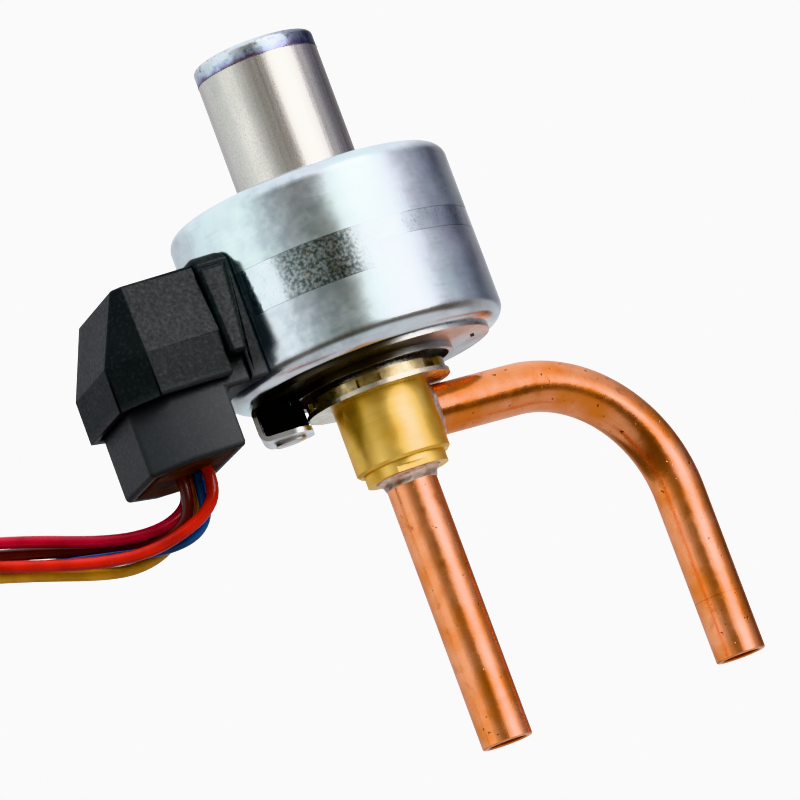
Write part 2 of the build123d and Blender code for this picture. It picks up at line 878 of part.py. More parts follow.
# Lower bobbin: carries the block with the pins of both phases, which looks out of the window
with BuildPart() as lower_bobbin:
    revolve(spool(lower_floor + bobbin_fit, block_top), axis=Axis.Z)
    with BuildSketch(level(housing_turn, block_top - block_height)):
        with Locations((block_reach / 2, 0)):
            Rectangle(block_reach, block_width)
        Circle(winding_radius + winding_clearance, mode=Mode.SUBTRACT)
    extrude(amount=block_height)
    with BuildSketch(facing(housing_turn, pin_root)):
        with Locations((0, pin_height)):
            with GridLocations(pin_pitch, pin_row_pitch, pins_per_row, pin_rows):
                Rectangle(pin_size + 2 * solder_gap, pin_size + 2 * solder_gap)
    extrude(amount=block_reach, mode=Mode.SUBTRACT)
lower_bobbin.part.label = "lower_bobbin"
export_step(lower_bobbin.part, "parts/lower_bobbin.step")

with BuildPart() as upper_bobbin:
    revolve(spool(seam_upper + bobbin_fit, upper_ceiling - bobbin_fit), axis=Axis.Z)
upper_bobbin.part.label = "upper_bobbin"
export_step(upper_bobbin.part, "parts/upper_bobbin.step")

with BuildPart() as lower_winding:
    revolve(winding(lower_floor, seam_lower), axis=Axis.Z)
lower_winding.part.label = "lower_winding"
export_step(lower_winding.part, "parts/lower_winding.step")

with BuildPart() as upper_winding:
    revolve(winding(seam_upper, upper_ceiling), axis=Axis.Z)
upper_winding.part.label = "upper_winding"
export_step(upper_winding.part, "parts/upper_winding.step")

# Terminal pins: square wire pressed into the block and soldered through the board
pin_end = board_place + board_thickness + pin_stand_out
with BuildPart() as terminal_pins:
    with BuildSketch(facing(housing_turn, pin_root)):
        with Locations((0, pin_height)):
            with GridLocations(pin_pitch, pin_row_pitch, pins_per_row, pin_rows):
                Rectangle(pin_size, pin_size)
    extrude(amount=pin_end - pin_root)
terminal_pins.part.label = "terminal_pins"
export_step(terminal_pins.part, "parts/terminal_pins.step")

# Terminal board: joins the pins to the leads, and stands on the potting
potting_bottom = skirt_bottom + potting_recess
potting_top = potting_bottom + potting_depth
board_top = pin_height + board_rise
with BuildPart() as terminal_board:
    with BuildSketch(facing(housing_turn, board_place)):
        with Locations((0, (potting_top + board_top) / 2)):
            Rectangle(2 * board_half_width, board_top - potting_top)
        with Locations((0, pin_height)):
            with GridLocations(pin_pitch, pin_row_pitch, pins_per_row, pin_rows):
                Rectangle(pin_size + 2 * solder_gap, pin_size + 2 * solder_gap, mode=Mode.SUBTRACT)
    extrude(amount=board_thickness)
terminal_board.part.label = "terminal_board"
export_step(terminal_board.part, "parts/terminal_board.step")


# Plan of the lead housing, shrunk by an inset. At the crown it's drawn in, with smaller chamfers
def housing_plan(height, inner, inset=0.0, crown=False):
    end = cover_end - inset - (cover_end_draft if crown else 0)
    side = cover_half_width - inset - (cover_side_draft if crown else 0)
    cut = crown_chamfer if crown else cover_chamfer
    cut_reach = crown_chamfer_reach if crown else cover_chamfer_reach
    with BuildSketch(level(housing_turn, height)) as plan:
        with BuildLine():
            Polyline(
                (inner, -side),
                (end - cut_reach, -side),
                (end, -side + cut),
                (end, side - cut),
                (end - cut_reach, side),
                (inner, side),
                close=True,
            )
        make_face()
    return plan.sketch


# Plan of the flange: it is thicker at its head, where its sides lean in with the cover's
def flange_plan(height, thickness, half_width):
    with BuildSketch(level(housing_turn, height)) as plan:
        with Locations((flange_face - thickness / 2, 0)):
            Rectangle(thickness, 2 * half_width)
    return plan.sketch


# Base: neck on the stator, flange that closes the cover, and the skirt that the leads leave
with BuildPart() as housing_base:
    with BuildSketch(level(housing_turn, neck_bottom)):
        with Locations((flange_face / 2, 0)):
            Rectangle(flange_face, 2 * neck_half_width)
        Circle(coil_radius + housing_fit, mode=Mode.SUBTRACT)
        Rectangle(coil_radius, 3 * neck_half_width, mode=Mode.SUBTRACT)
    extrude(amount=neck_top - neck_bottom)
    crown_edges = housing_base.edges().group_by(Axis.Z)[-1].filter_by(GeomType.LINE)
    crown_edges = crown_edges.filter_by(
        lambda edge: abs(abs(level(housing_turn, 0).to_local_coords(edge.center()).Y) - neck_half_width) < neck_edge
    )
    fillet(crown_edges, neck_edge)
    loft(
        [
            flange_plan(flange_bottom, flange_foot, flange_half_width),
            flange_plan(flange_top, flange_head, flange_half_width - flange_lean),
        ]
    )
    extrude(housing_plan(neck_bottom, flange_face - flange_foot, skirt_inset), amount=skirt_top - neck_bottom)
    with BuildSketch(level(housing_turn, neck_bottom)):
        Circle(coil_radius + housing_fit)
    extrude(amount=neck_top - neck_bottom, mode=Mode.SUBTRACT)
    extrude(housing_plan(skirt_bottom, skirt_inner, skirt_inset), amount=skirt_top - skirt_bottom)
    extrude(
        housing_plan(skirt_bottom, skirt_inner + skirt_wall, skirt_inset + skirt_wall),
        amount=skirt_top - skirt_bottom,
        mode=Mode.SUBTRACT,
    )
    with BuildSketch(facing(housing_turn, coil_radius - 2 * shell_wall)):
        with Locations((0, pin_height)):
            Rectangle(block_width + 2 * block_clearance, block_height + 2 * block_clearance)
    extrude(amount=skirt_inner - coil_radius + 4 * shell_wall, mode=Mode.SUBTRACT)
housing_base.part.label = "housing_base"
export_step(housing_base.part, "parts/housing_base.step")

# Cover: moulded cap pushed down over the skirt, open towards the flange. Upright, then drawn in
cover_inner = flange_face + housing_fit
hollow_inner = flange_face - cover_wall
with BuildPart() as housing_cover:
    extrude(housing_plan(cover_bottom, cover_inner), amount=cover_kink - cover_bottom)
    loft(
        [
            housing_plan(cover_kink, cover_inner),
            housing_plan(cover_top, cover_inner, crown=True),
        ]
    )
    rounded = housing_cover.edges().filter_by(lambda edge: edge.center().Z > cover_bottom + cover_edge)
    rounded = rounded.filter_by(
        lambda edge: level(housing_turn, 0).to_local_coords(edge.center()).X > flange_face + cover_edge
    )
    fillet(rounded, cover_edge)
    extrude(
        housing_plan(cover_bottom, hollow_inner, cover_wall), amount=cover_kink - cover_bottom, mode=Mode.SUBTRACT
    )
    loft(
        [
            housing_plan(cover_kink, hollow_inner, cover_wall),
            housing_plan(cover_top - cover_wall, hollow_inner, cover_wall, crown=True),
        ],
        mode=Mode.SUBTRACT,
    )
housing_cover.part.label = "housing_cover"
export_step(housing_cover.part, "parts/housing_cover.step")

# Potting: resin in the skirt, from which the leads come out
potting_inset = skirt_wall + solder_gap
with BuildPart() as lead_potting:
    extrude(
        housing_plan(potting_bottom, skirt_inner + potting_inset, skirt_inset + potting_inset), amount=potting_depth
    )
lead_potting.part.label = "lead_potting"
export_step(lead_potting.part, "parts/lead_potting.step")

# Spring bracket: plate spot-welded under the stator, with a turned-down collar and a hook
tongue_height = shoulder - hook_clearance - bracket_thickness / 2
plate_middle = bracket_bottom + bracket_thickness / 2
with BuildPart() as coil_bracket:
    with BuildSketch(Plane.XY.offset(bracket_bottom)):
        Circle(bracket_radius)
        Circle(bracket_hole, mode=Mode.SUBTRACT)
        with PolarLocations(slot_circle, slots, start_angle=bracket_turn + 180 / slots):
            Rectangle(slot_width, slot_length, mode=Mode.SUBTRACT)
    extrude(amount=bracket_thickness)
    with BuildSketch(Plane.XY.offset(bracket_bottom - bracket_collar)):
        Circle(bracket_hole + bracket_thickness)
        Circle(bracket_hole, mode=Mode.SUBTRACT)
    extrude(amount=bracket_collar)
    with BuildSketch(level(bracket_turn, bracket_bottom)):
        with Locations((bracket_radius + hook_root, 0)):
            Rectangle(2 * bracket_radius, hook_width + 2 * hook_notch)
    extrude(amount=bracket_thickness, mode=Mode.SUBTRACT)
    with BuildSketch(upright(bracket_turn)):
        with BuildLine():
            FilletPolyline(
                (hook_root - hook_bend, plate_middle),
                (hook_leg, plate_middle),
                (hook_leg, tongue_height),
                (hook_reach, tongue_height - hook_slope),
                radius=hook_bend,
            )
        trace(line_width=bracket_thickness)
    extrude(amount=hook_width / 2, both=True)
    tongue_ends = coil_bracket.edges().filter_by(
        lambda edge: abs(level(bracket_turn, 0).to_local_coords(edge.center()).X - hook_reach) < bracket_thickness
        and abs(edge.center().Z - tongue_height) < bracket_thickness + hook_slope
        and edge.length < 2 * bracket_thickness
    )
    fillet(tongue_ends, min(hook_corner, hook_leg - hook_reach - hook_bend - bracket_thickness))
    with BuildSketch(level(bracket_turn, tongue_height)):
        with Locations(((hook_leg + hook_reach) / 2, 0)):
            Ellipse(dimple_length / 2, dimple_width / 2)
    extrude(amount=-dimple_depth - bracket_thickness)
    chamfer(coil_bracket.edges().group_by(Axis.Z)[0], dimple_depth / 2)
coil_bracket.part.label = "coil_bracket"
export_step(coil_bracket.part, "parts/coil_bracket.step")


# Point beside the leads' own direction: distance out, distance to its right, and height
def lead_point(out, side, height):
    return upright(lead_turn).from_local_coords(Vector(out, height, side))


# Largest bend at each corner that its two runs leave room for
def bend_radii(points):
    radii = []
    for before, corner, after in zip(points, points[1:], points[2:]):
        turn = radians((corner - before).get_angle(after - corner))
        shorter = min((corner - before).length, (after - corner).length)
        radii.append(bend_share * shorter / tan(turn / 2))
    return radii


# Centre line of a wire, and its round section at its start
def wire_line(points):
    corners = [lead_point(*point) for point in points]
    with BuildLine() as line:
        FilletPolyline(*corners, radius=bend_radii(corners))
    return line.line


def wire_section(points):
    corners = [lead_point(*point) for point in points]
    with BuildSketch(Plane(origin=corners[0], z_dir=corners[1] - corners[0])) as section:
        Circle(lead_radius)
    return section.sketch


# Route of each lead: down out of the potting, out in a bow, and down into the hank
crimson_route = [
    (25.3, -6.0, 43.0), (25.3, -6.0, 40.6), (26.6, -6.1, 38.4), (30.2, -6.3, 37.1), (35.8, -6.5, 37.5),
    (46.0, -6.5, 41.7),
    (56.0, -7.2, 44.0), (65.4, -8.2, 39.7), (69.8, -9.0, 28.9), (70.8, -9.4, 14.0), (70.6, -9.6, -2.0),
    (70.6, -9.6, -18.0),
]
brown_route = [
    (25.4, -8.0, 43.0), (25.3, -8.0, 39.4), (28.0, -8.0, 36.7), (34.6, -8.0, 36.5), (45.5, -8.0, 39.9),
    (56.0, -8.8, 44.0), (65.4, -9.8, 39.7), (69.8, -10.6, 28.9), (70.8, -11.0, 14.0), (70.6, -11.2, -2.0),
    (70.6, -11.2, -18.0),
]
orange_route = [
    (22.2, -9.3, 43.0), (21.7, -9.6, 39.6), (24.4, -9.8, 36.6), (31.0, -9.8, 34.9), (37.5, -9.6, 35.7),
    (46.5, -9.3, 38.7), (56.0, -8.8, 42.2), (64.2, -9.8, 38.3), (68.2, -10.6, 28.5), (69.2, -11.0, 14.0),
    (69.0, -11.2, -2.0), (69.0, -11.2, -18.0),
]
blue_route = [
    (22.8, -5.6, 43.0), (23.0, -5.7, 38.6), (25.6, -5.8, 35.3), (31.5, -5.6, 35.0), (38.0, -5.2, 36.6),
    (46.0, -4.9, 39.9), (56.0, -7.2, 42.2), (64.2, -8.2, 38.3), (68.2, -9.0, 28.5), (69.2, -9.4, 14.0),
    (69.0, -9.6, -2.0), (69.0, -9.6, -18.0),
]
yellow_route = [
    (23.6, -7.4, 43.0), (23.6, -7.4, 38.4), (25.4, -7.5, 34.8), (31.2, -7.8, 34.0), (36.4, -7.8, 33.9),
    (46.0, -7.6, 38.0), (56.0, -8.0, 40.6), (63.0, -9.0, 37.2), (66.6, -9.8, 28.1), (67.6, -10.2, 14.0),
    (67.4, -10.4, -2.0), (67.4, -10.4, -18.0),
]

# Tail of each lead: out of the hank and fanned to its own way in the plug
crimson_tail = [(70.6, 0.0, -37.0), (71.3, 0.8, -41.3), (70.6, 4.2, -47.6), (70.6, 4.2, -53.0)]
brown_tail = [(70.6, -1.6, -37.0), (71.3, -2.5, -41.3), (70.6, -5.8, -47.6), (70.6, -5.8, -53.0)]
orange_tail = [(69.0, -1.6, -37.0), (69.2, -1.8, -41.5), (70.6, -3.3, -47.6), (70.6, -3.3, -53.0)]
blue_tail = [(69.0, 0.0, -37.0), (69.2, 0.2, -41.5), (70.6, 1.7, -47.6), (70.6, 1.7, -53.0)]
yellow_tail = [(67.4, -0.8, -37.0), (67.6, -0.8, -41.5), (70.6, -0.8, -47.6), (70.6, -0.8, -53.0)]

with BuildPart() as crimson_lead:
    for points in (crimson_route, crimson_tail):
        sweep(wire_section(points), path=wire_line(points))
crimson_lead.part.label = "crimson_lead"
export_step(crimson_lead.part, "parts/crimson_lead.step")

with BuildPart() as brown_lead:
    for points in (brown_route, brown_tail):
        sweep(wire_section(points), path=wire_line(points))
brown_lead.part.label = "brown_lead"
export_step(brown_lead.part, "parts/brown_lead.step")

with BuildPart() as orange_lead:
    for points in (orange_route, orange_tail):
        sweep(wire_section(points), path=wire_line(points))
orange_lead.part.label = "orange_lead"
export_step(orange_lead.part, "parts/orange_lead.step")

with BuildPart() as blue_lead:
    for points in (blue_route, blue_tail):
        sweep(wire_section(points), path=wire_line(points))
blue_lead.part.label = "blue_lead"
export_step(blue_lead.part, "parts/blue_lead.step")

with BuildPart() as yellow_lead:
    for points in (yellow_route, yellow_tail):
        sweep(wire_section(points), path=wire_line(points))
yellow_lead.part.label = "yellow_lead"
export_step(yellow_lead.part, "parts/yellow_lead.step")

# Hank: the coiled middle length of all five leads, lying edge on to their direction
with BuildPart() as lead_hank:
    with BuildSketch(upright(lead_turn).offset(hank_side_low)):
        with Locations((hank_out, hank_height)):
            Circle(hank_radius + hank_half)
            Circle(hank_radius - hank_half, mode=Mode.SUBTRACT)
    extrude(amount=hank_side_high - hank_side_low)
    fillet(lead_hank.edges(), hank_edge)
lead_hank.part.label = "lead_hank"
export_step(lead_hank.part, "parts/lead_hank.step")

# Tie: plastic band round the hank at its top, with its ratchet head outside
hank_width = hank_side_high - hank_side_low
hank_middle = (hank_side_high + hank_side_low) / 2
tie_bore_width = hank_width + 2 * tie_clearance
tie_bore_height = 2 * (hank_half + tie_clearance)
with BuildPart() as lead_tie:
    with BuildSketch(facing(lead_turn, hank_out - tie_width / 2)):
        with Locations((-hank_middle, hank_height + hank_radius)):
            RectangleRounded(
                tie_bore_width + 2 * tie_thickness, tie_bore_height + 2 * tie_thickness, hank_edge + tie_thickness
            )
            RectangleRounded(tie_bore_width, tie_bore_height, hank_edge, mode=Mode.SUBTRACT)
        with Locations((-hank_middle, hank_height + hank_radius + tie_bore_height / 2 + tie_head / 2)):
            Rectangle(tie_head, tie_head)
    extrude(amount=tie_width)
    chamfer(lead_tie.edges().group_by(Axis.Z)[-1], tie_thickness / 3)
lead_tie.part.label = "lead_tie"
export_step(lead_tie.part, "parts/lead_tie.step")

# Plug: a housing with a way for each lead, and a contact in each way
plug_ways = 5
plug_width = (plug_ways - 1) * plug_pitch + 2 * plug_margin
with BuildPart() as lead_plug:
    with BuildSketch(level(lead_turn, plug_top - plug_height)):
        with Locations((plug_out, -tail_side)):
            Rectangle(plug_thickness, plug_width)
    extrude(amount=plug_height)
    chamfer(lead_plug.edges(), plug_edge)
    with BuildSketch(level(lead_turn, plug_top - plug_height)):
        with Locations((plug_out, -tail_side)):
            with GridLocations(plug_pitch, plug_pitch, 1, plug_ways):
                Rectangle(cavity_size, cavity_size)
    extrude(amount=plug_height, mode=Mode.SUBTRACT)
lead_plug.part.label = "lead_plug"
export_step(lead_plug.part, "parts/lead_plug.step")

contact_size = cavity_size - 2 * solder_gap
with BuildPart() as plug_contacts:
    with BuildSketch(level(lead_turn, plug_top - plug_height + plug_edge)):
        with Locations((plug_out, -tail_side)):
            with GridLocations(plug_pitch, plug_pitch, 1, plug_ways):
                Rectangle(contact_size, contact_size)
                Rectangle(contact_size - 2 * contact_wall, contact_size - 2 * contact_wall, mode=Mode.SUBTRACT)
    extrude(amount=contact_length)
plug_contacts.part.label = "plug_contacts"
export_step(plug_contacts.part, "parts/plug_contacts.step")

# Smallest bends of the leads as they are laid
for colour, route, tail in (
    ("crimson", crimson_route, crimson_tail),
    ("brown", brown_route, brown_tail),
    ("orange", orange_route, orange_tail),
    ("blue", blue_route, blue_tail),
    ("yellow", yellow_route, yellow_tail),
):
    bends = [bend_radii([lead_point(*point) for point in points]) for points in (route, tail)]
    print(f"{colour} lead: bends {min(bends[0]):.1f} mm and more on its way out, {min(bends[1]):.1f} mm at its tail")
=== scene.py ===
from math import cos, pi, radians, sin

import bmesh
import bpy
from mathutils import Matrix, Vector, noise


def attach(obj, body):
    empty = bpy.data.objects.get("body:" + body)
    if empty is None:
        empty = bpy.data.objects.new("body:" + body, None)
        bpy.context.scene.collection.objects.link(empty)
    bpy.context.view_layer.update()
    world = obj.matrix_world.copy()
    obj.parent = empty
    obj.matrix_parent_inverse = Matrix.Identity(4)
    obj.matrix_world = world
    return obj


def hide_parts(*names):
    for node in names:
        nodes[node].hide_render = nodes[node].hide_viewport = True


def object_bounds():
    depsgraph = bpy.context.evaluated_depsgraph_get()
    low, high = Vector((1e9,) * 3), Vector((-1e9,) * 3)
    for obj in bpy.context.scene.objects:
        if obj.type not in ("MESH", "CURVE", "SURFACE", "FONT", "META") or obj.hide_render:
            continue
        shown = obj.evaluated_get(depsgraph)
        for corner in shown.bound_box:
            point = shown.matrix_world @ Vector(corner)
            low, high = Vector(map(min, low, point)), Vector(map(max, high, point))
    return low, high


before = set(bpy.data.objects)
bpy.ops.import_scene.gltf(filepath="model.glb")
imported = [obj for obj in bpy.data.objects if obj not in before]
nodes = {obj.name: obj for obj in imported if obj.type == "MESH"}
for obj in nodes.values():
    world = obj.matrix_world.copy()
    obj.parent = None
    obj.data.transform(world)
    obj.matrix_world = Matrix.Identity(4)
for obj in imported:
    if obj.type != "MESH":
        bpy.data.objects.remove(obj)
cad_low, cad_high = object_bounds()

# Camera: a long lens from a little below the stator, turned about its own axis so that the valve
# leans to the left as in the photograph.
camera_place = Vector((-0.42899, -0.66455, -0.07662))
camera_aim = Vector((0.001812, -0.001177, 0.04315))
camera_lean = radians(20.4)
camera_lens = 300.3
camera_sensor = 36.0

back = (camera_place - camera_aim).normalized()
level_right = Vector((0, 0, 1)).cross(back).normalized()
level_up = back.cross(level_right)
picture_right = level_right * cos(camera_lean) - level_up * sin(camera_lean)
picture_up = level_right * sin(camera_lean) + level_up * cos(camera_lean)
camera_data = bpy.data.cameras.new("camera")
camera_data.lens = camera_lens
camera_data.sensor_width = camera_sensor
camera_data.clip_start = 0.01
camera = bpy.data.objects.new("camera", camera_data)
camera_axes = Matrix((picture_right, picture_up, back)).transposed().to_4x4()
camera.matrix_world = Matrix.Translation(camera_place) @ camera_axes
bpy.context.scene.collection.objects.link(camera)
bpy.context.scene.camera = camera

# Leads: five stranded wires in PVC, crimped in the terminal board and potted where they leave the
# housing. Their spare length is wound into one hank of three turns, and they end in a common plug.
lead_diameter = 0.0015
lead_turn = radians(147)
hank_out = 0.044
hank_height = -0.030
hank_radius = 0.025
hank_turns = 3
hank_side_first = -0.0104
hank_side_last = -0.0008
hank_steps = 24


def beside_leads(out, side, height):
    return Vector((
        out * cos(lead_turn) + side * sin(lead_turn), out * sin(lead_turn) - side * cos(lead_turn), height,
    ))


# Each lead: its colour, its place in the bundle (outwards, sideways), its route out and its tail
leads = {
    "crimson": {
        "colour": (0.36, 0.002, 0.018),
        "bundle": (0.0016, 0.0008),
        "route": [
            (0.0253, -0.0060, 0.0430), (0.0253, -0.0064, 0.0406), (0.0266, -0.0072, 0.0384),
            (0.0302, -0.0082, 0.0372), (0.0358, -0.0086, 0.0379), (0.0460, -0.0086, 0.0419),
            (0.0560, -0.0084, 0.0447), (0.0654, -0.0082, 0.0397), (0.0698, -0.0090, 0.0289),
            (0.0708, -0.0094, 0.0140), (0.0706, -0.0096, -0.0020), (0.0706, -0.0096, -0.0180),
        ],
        "tail": [
            (0.0706, 0.0000, -0.0370), (0.0713, 0.0008, -0.0413), (0.0706, 0.0042, -0.0476),
            (0.0706, 0.0042, -0.0530),
        ],
    },
    "brown": {
        "colour": (0.11, 0.022, 0.020),
        "bundle": (0.0016, -0.0008),
        "route": [
            (0.0254, -0.0080, 0.0430), (0.0252, -0.0080, 0.0392), (0.0276, -0.0074, 0.0364),
            (0.0346, -0.0066, 0.0366), (0.0455, -0.0064, 0.0405), (0.0560, -0.0078, 0.0430),
            (0.0654, -0.0098, 0.0397), (0.0698, -0.0106, 0.0289), (0.0708, -0.0110, 0.0140),
            (0.0706, -0.0112, -0.0020), (0.0706, -0.0112, -0.0180),
        ],
        "tail": [
            (0.0706, -0.0016, -0.0370), (0.0713, -0.0025, -0.0413), (0.0706, -0.0058, -0.0476),
            (0.0706, -0.0058, -0.0530),
        ],
    },
    "orange": {
        "colour": (0.50, 0.012, 0.004),
        "bundle": (0.0, -0.0008),
        "route": [
            (0.0222, -0.0093, 0.0430), (0.0217, -0.0096, 0.0396), (0.0244, -0.0098, 0.0366),
            (0.0310, -0.0098, 0.0349), (0.0375, -0.0096, 0.0357), (0.0465, -0.0093, 0.0387),
            (0.0560, -0.0088, 0.0422), (0.0642, -0.0098, 0.0383), (0.0682, -0.0106, 0.0285),
            (0.0692, -0.0110, 0.0140), (0.0690, -0.0112, -0.0020), (0.0690, -0.0112, -0.0180),
        ],
        "tail": [
            (0.0690, -0.0016, -0.0370), (0.0692, -0.0018, -0.0415), (0.0706, -0.0033, -0.0476),
            (0.0706, -0.0033, -0.0530),
        ],
    },
    "blue": {
        "colour": (0.008, 0.060, 0.20),
        "bundle": (0.0, 0.0008),
        "route": [
            (0.0233, -0.0074, 0.0430), (0.0235, -0.0074, 0.0400), (0.0242, -0.0076, 0.0368),
            (0.0266, -0.0079, 0.0350), (0.0312, -0.0079, 0.0350), (0.0380, -0.0078, 0.0366),
            (0.0460, -0.0062, 0.0387), (0.0560, -0.0072, 0.0422), (0.0642, -0.0082, 0.0383),
            (0.0682, -0.0090, 0.0285), (0.0692, -0.0094, 0.0140), (0.0690, -0.0096, -0.0020),
            (0.0690, -0.0096, -0.0180),
        ],
        "tail": [
            (0.0690, 0.0000, -0.0370), (0.0692, 0.0002, -0.0415), (0.0706, 0.0017, -0.0476),
            (0.0706, 0.0017, -0.0530),
        ],
    },
    "yellow": {
        "colour": (0.64, 0.31, 0.03),
        "bundle": (-0.0016, 0.0),
        "route": [
            (0.0238, -0.0050, 0.0430), (0.0240, -0.0052, 0.0404), (0.0255, -0.0054, 0.0376),
            (0.0285, -0.0057, 0.0360), (0.0318, -0.0062, 0.0343), (0.0365, -0.0070, 0.0342),
            (0.0460, -0.0076, 0.0376), (0.0560, -0.0080, 0.0406), (0.0630, -0.0090, 0.0372),
            (0.0666, -0.0098, 0.0281), (0.0676, -0.0102, 0.0140), (0.0674, -0.0104, -0.0020),
            (0.0674, -0.0104, -0.0180),
        ],
        "tail": [
            (0.0674, -0.0008, -0.0370), (0.0676, -0.0008, -0.0415), (0.0706, -0.0008, -0.0476),
            (0.0706, -0.0008, -0.0530),
        ],
    },
}


# Fine finish of a moulded, drawn or turned surface: each helper adds one layer to a material's own
# nodes, read from the piece's own coordinates. They are first needed for the leads' PVC.
def set_shader(material, socket, value):
    material.node_tree.nodes["Principled BSDF"].inputs[socket].default_value = value


def new_material(name, colour, roughness, metallic=0.0):
    material = bpy.data.materials.new(name)
    material.use_nodes = True
    set_shader(material, "Base Color", (*colour, 1))
    set_shader(material, "Roughness", roughness)
    set_shader(material, "Metallic", metallic)
    return material


def unevenness(material, scale, stretch=(1, 1, 1), detail=3.0, along=None):
    tree = material.node_tree
    mapping = tree.nodes.new("ShaderNodeMapping")
    mapping.inputs["Scale"].default_value = stretch
    if along is None:
        along = tree.nodes.new("ShaderNodeTexCoord").outputs["Object"]
    tree.links.new(along, mapping.inputs["Vector"])
    cloud = tree.nodes.new("ShaderNodeTexNoise")
    cloud.inputs["Scale"].default_value = scale
    cloud.inputs["Detail"].default_value = detail
    tree.links.new(mapping.outputs["Vector"], cloud.inputs["Vector"])
    return cloud.outputs["Fac"]


def share(material, amount, low, high, least=0.0, most=1.0):
    stage = material.node_tree.nodes.new("ShaderNodeMapRange")
    stage.inputs["From Min"].default_value = low
    stage.inputs["From Max"].default_value = high
    stage.inputs["To Min"].default_value = least
    stage.inputs["To Max"].default_value = most
    material.node_tree.links.new(amount, stage.inputs["Value"])
    return stage.outputs["Result"]


def tint(material, amount, stops):
    tree = material.node_tree
    ramp = tree.nodes.new("ShaderNodeValToRGB")
    while len(ramp.color_ramp.elements) < len(stops):
        ramp.color_ramp.elements.new(0.5)
    for element, (position, colour) in zip(ramp.color_ramp.elements, stops):
        element.position = position
        element.color = (*colour, 1)
    tree.links.new(amount, ramp.inputs["Fac"])
    tree.links.new(ramp.outputs["Color"], tree.nodes["Principled BSDF"].inputs["Base Color"])


def mottled(material, scale, darker, paler, stretch=(1, 1, 1), detail=3.0, low=0.35, high=0.65):
    tint(material, unevenness(material, scale, stretch, detail), [(low, darker), (high, paler)])


def gloss(material, amount, least, most):
    roughness = material.node_tree.nodes["Principled BSDF"].inputs["Roughness"]
    material.node_tree.links.new(share(material, amount, 0.3, 0.7, least, most), roughness)


def relief(material, amount, height):
    tree = material.node_tree
    normal = tree.nodes["Principled BSDF"].inputs["Normal"]
    bump = tree.nodes.new("ShaderNodeBump")
    bump.inputs["Strength"].default_value = 1.0
    bump.inputs["Distance"].default_value = height
    tree.links.new(amount, bump.inputs["Height"])
    if normal.is_linked:
        tree.links.new(normal.links[0].from_socket, bump.inputs["Normal"])
    tree.links.new(bump.outputs["Normal"], normal)


def lead_pvc(name, colour):
    material = new_material(name, colour, 0.28)
    darker = [value * 0.75 for value in colour]
    paler = [min(1, value * 1.2 + 0.004) for value in colour]
    mottled(material, 260, darker, paler)
    gloss(material, unevenness(material, 900), 0.14, 0.28)
    relief(material, unevenness(material, 2600), 0.000006)
    return material


for colour, lead in leads.items():
    bundle_out, bundle_side = lead["bundle"]
    reach = hank_radius + bundle_out
    points = [beside_leads(*point) for point in lead["route"]]
    for step in range(hank_turns * hank_steps + 1):
        turn = -2 * pi * step / hank_steps
        side = hank_side_first + (hank_side_last - hank_side_first) * step / (hank_turns * hank_steps)
        out = hank_out + reach * cos(turn)
        height = hank_height + reach * sin(turn)
        points.append(beside_leads(out, side + bundle_side, height))
    points += [beside_leads(*point) for point in lead["tail"]]
    line = bpy.data.curves.new(colour + "_wire", "CURVE")
    line.dimensions = "3D"
    line.bevel_depth = lead_diameter / 2
    line.bevel_resolution = 5
    line.resolution_u = 6
    line.use_fill_caps = True
    spline = line.splines.new("NURBS")
    spline.points.add(len(points) - 1)
    for knot, point in zip(spline.points, points):
        knot.co = (*point, 1)
    spline.order_u = 3
    spline.use_endpoint_u = True
    line.materials.append(lead_pvc(colour + "_pvc", lead["colour"]))
    wire = bpy.data.objects.new(colour + "_wire", line)
    bpy.context.scene.collection.objects.link(wire)
    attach(wire, "root")
    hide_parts(colour + "_lead", "lead_hank")

# Copper tubes: drawn tube, lightly tarnished, with drawing marks along it and small dark pits. The
# inlet tube is bent, so its marks follow the bend; a ring is scored round its leg.
copper_clean = (0.93, 0.38, 0.19)
copper_dull = (0.80, 0.25, 0.07)
copper_stained = (0.46, 0.15, 0.06)
copper_pit = (0.10, 0.03, 0.015)
along_tube = (1, 1, 0.03)
bend_centre_out = 0.0184
bend_centre_height = 0.0233
score_height = 0.0096
score_width = 0.00007


def dress(material, *names):
    for name in names:
        nodes[name].data.materials.clear()
        nodes[name].data.materials.append(material)


def stain(material, amount, colour):
    tree = material.node_tree
    base = tree.nodes["Principled BSDF"].inputs["Base Color"]
    blend = tree.nodes.new("ShaderNodeMix")
    blend.data_type = "RGBA"
    tree.links.new(amount, blend.inputs[0])
    tree.links.new(base.links[0].from_socket, blend.inputs[6])
    blend.inputs[7].default_value = (*colour, 1)
    tree.links.new(blend.outputs[2], base)


def flecked(material, scale, colour, low, high, most=1.0, stretch=(1, 1, 1), detail=3.0):
    flecks = unevenness(material, scale, stretch, detail)
    stain(material, share(material, flecks, low, high, 0, most), colour)


def place_of(material):
    tree = material.node_tree
    parts = tree.nodes.new("ShaderNodeSeparateXYZ")
    tree.links.new(tree.nodes.new("ShaderNodeTexCoord").outputs["Object"], parts.inputs["Vector"])
    return parts.outputs


def combined(material, operation, first, second):
    step = material.node_tree.nodes.new("ShaderNodeMath")
    step.operation = operation
    material.node_tree.links.new(first, step.inputs[0])
    material.node_tree.links.new(second, step.inputs[1])
    return step.outputs["Value"]


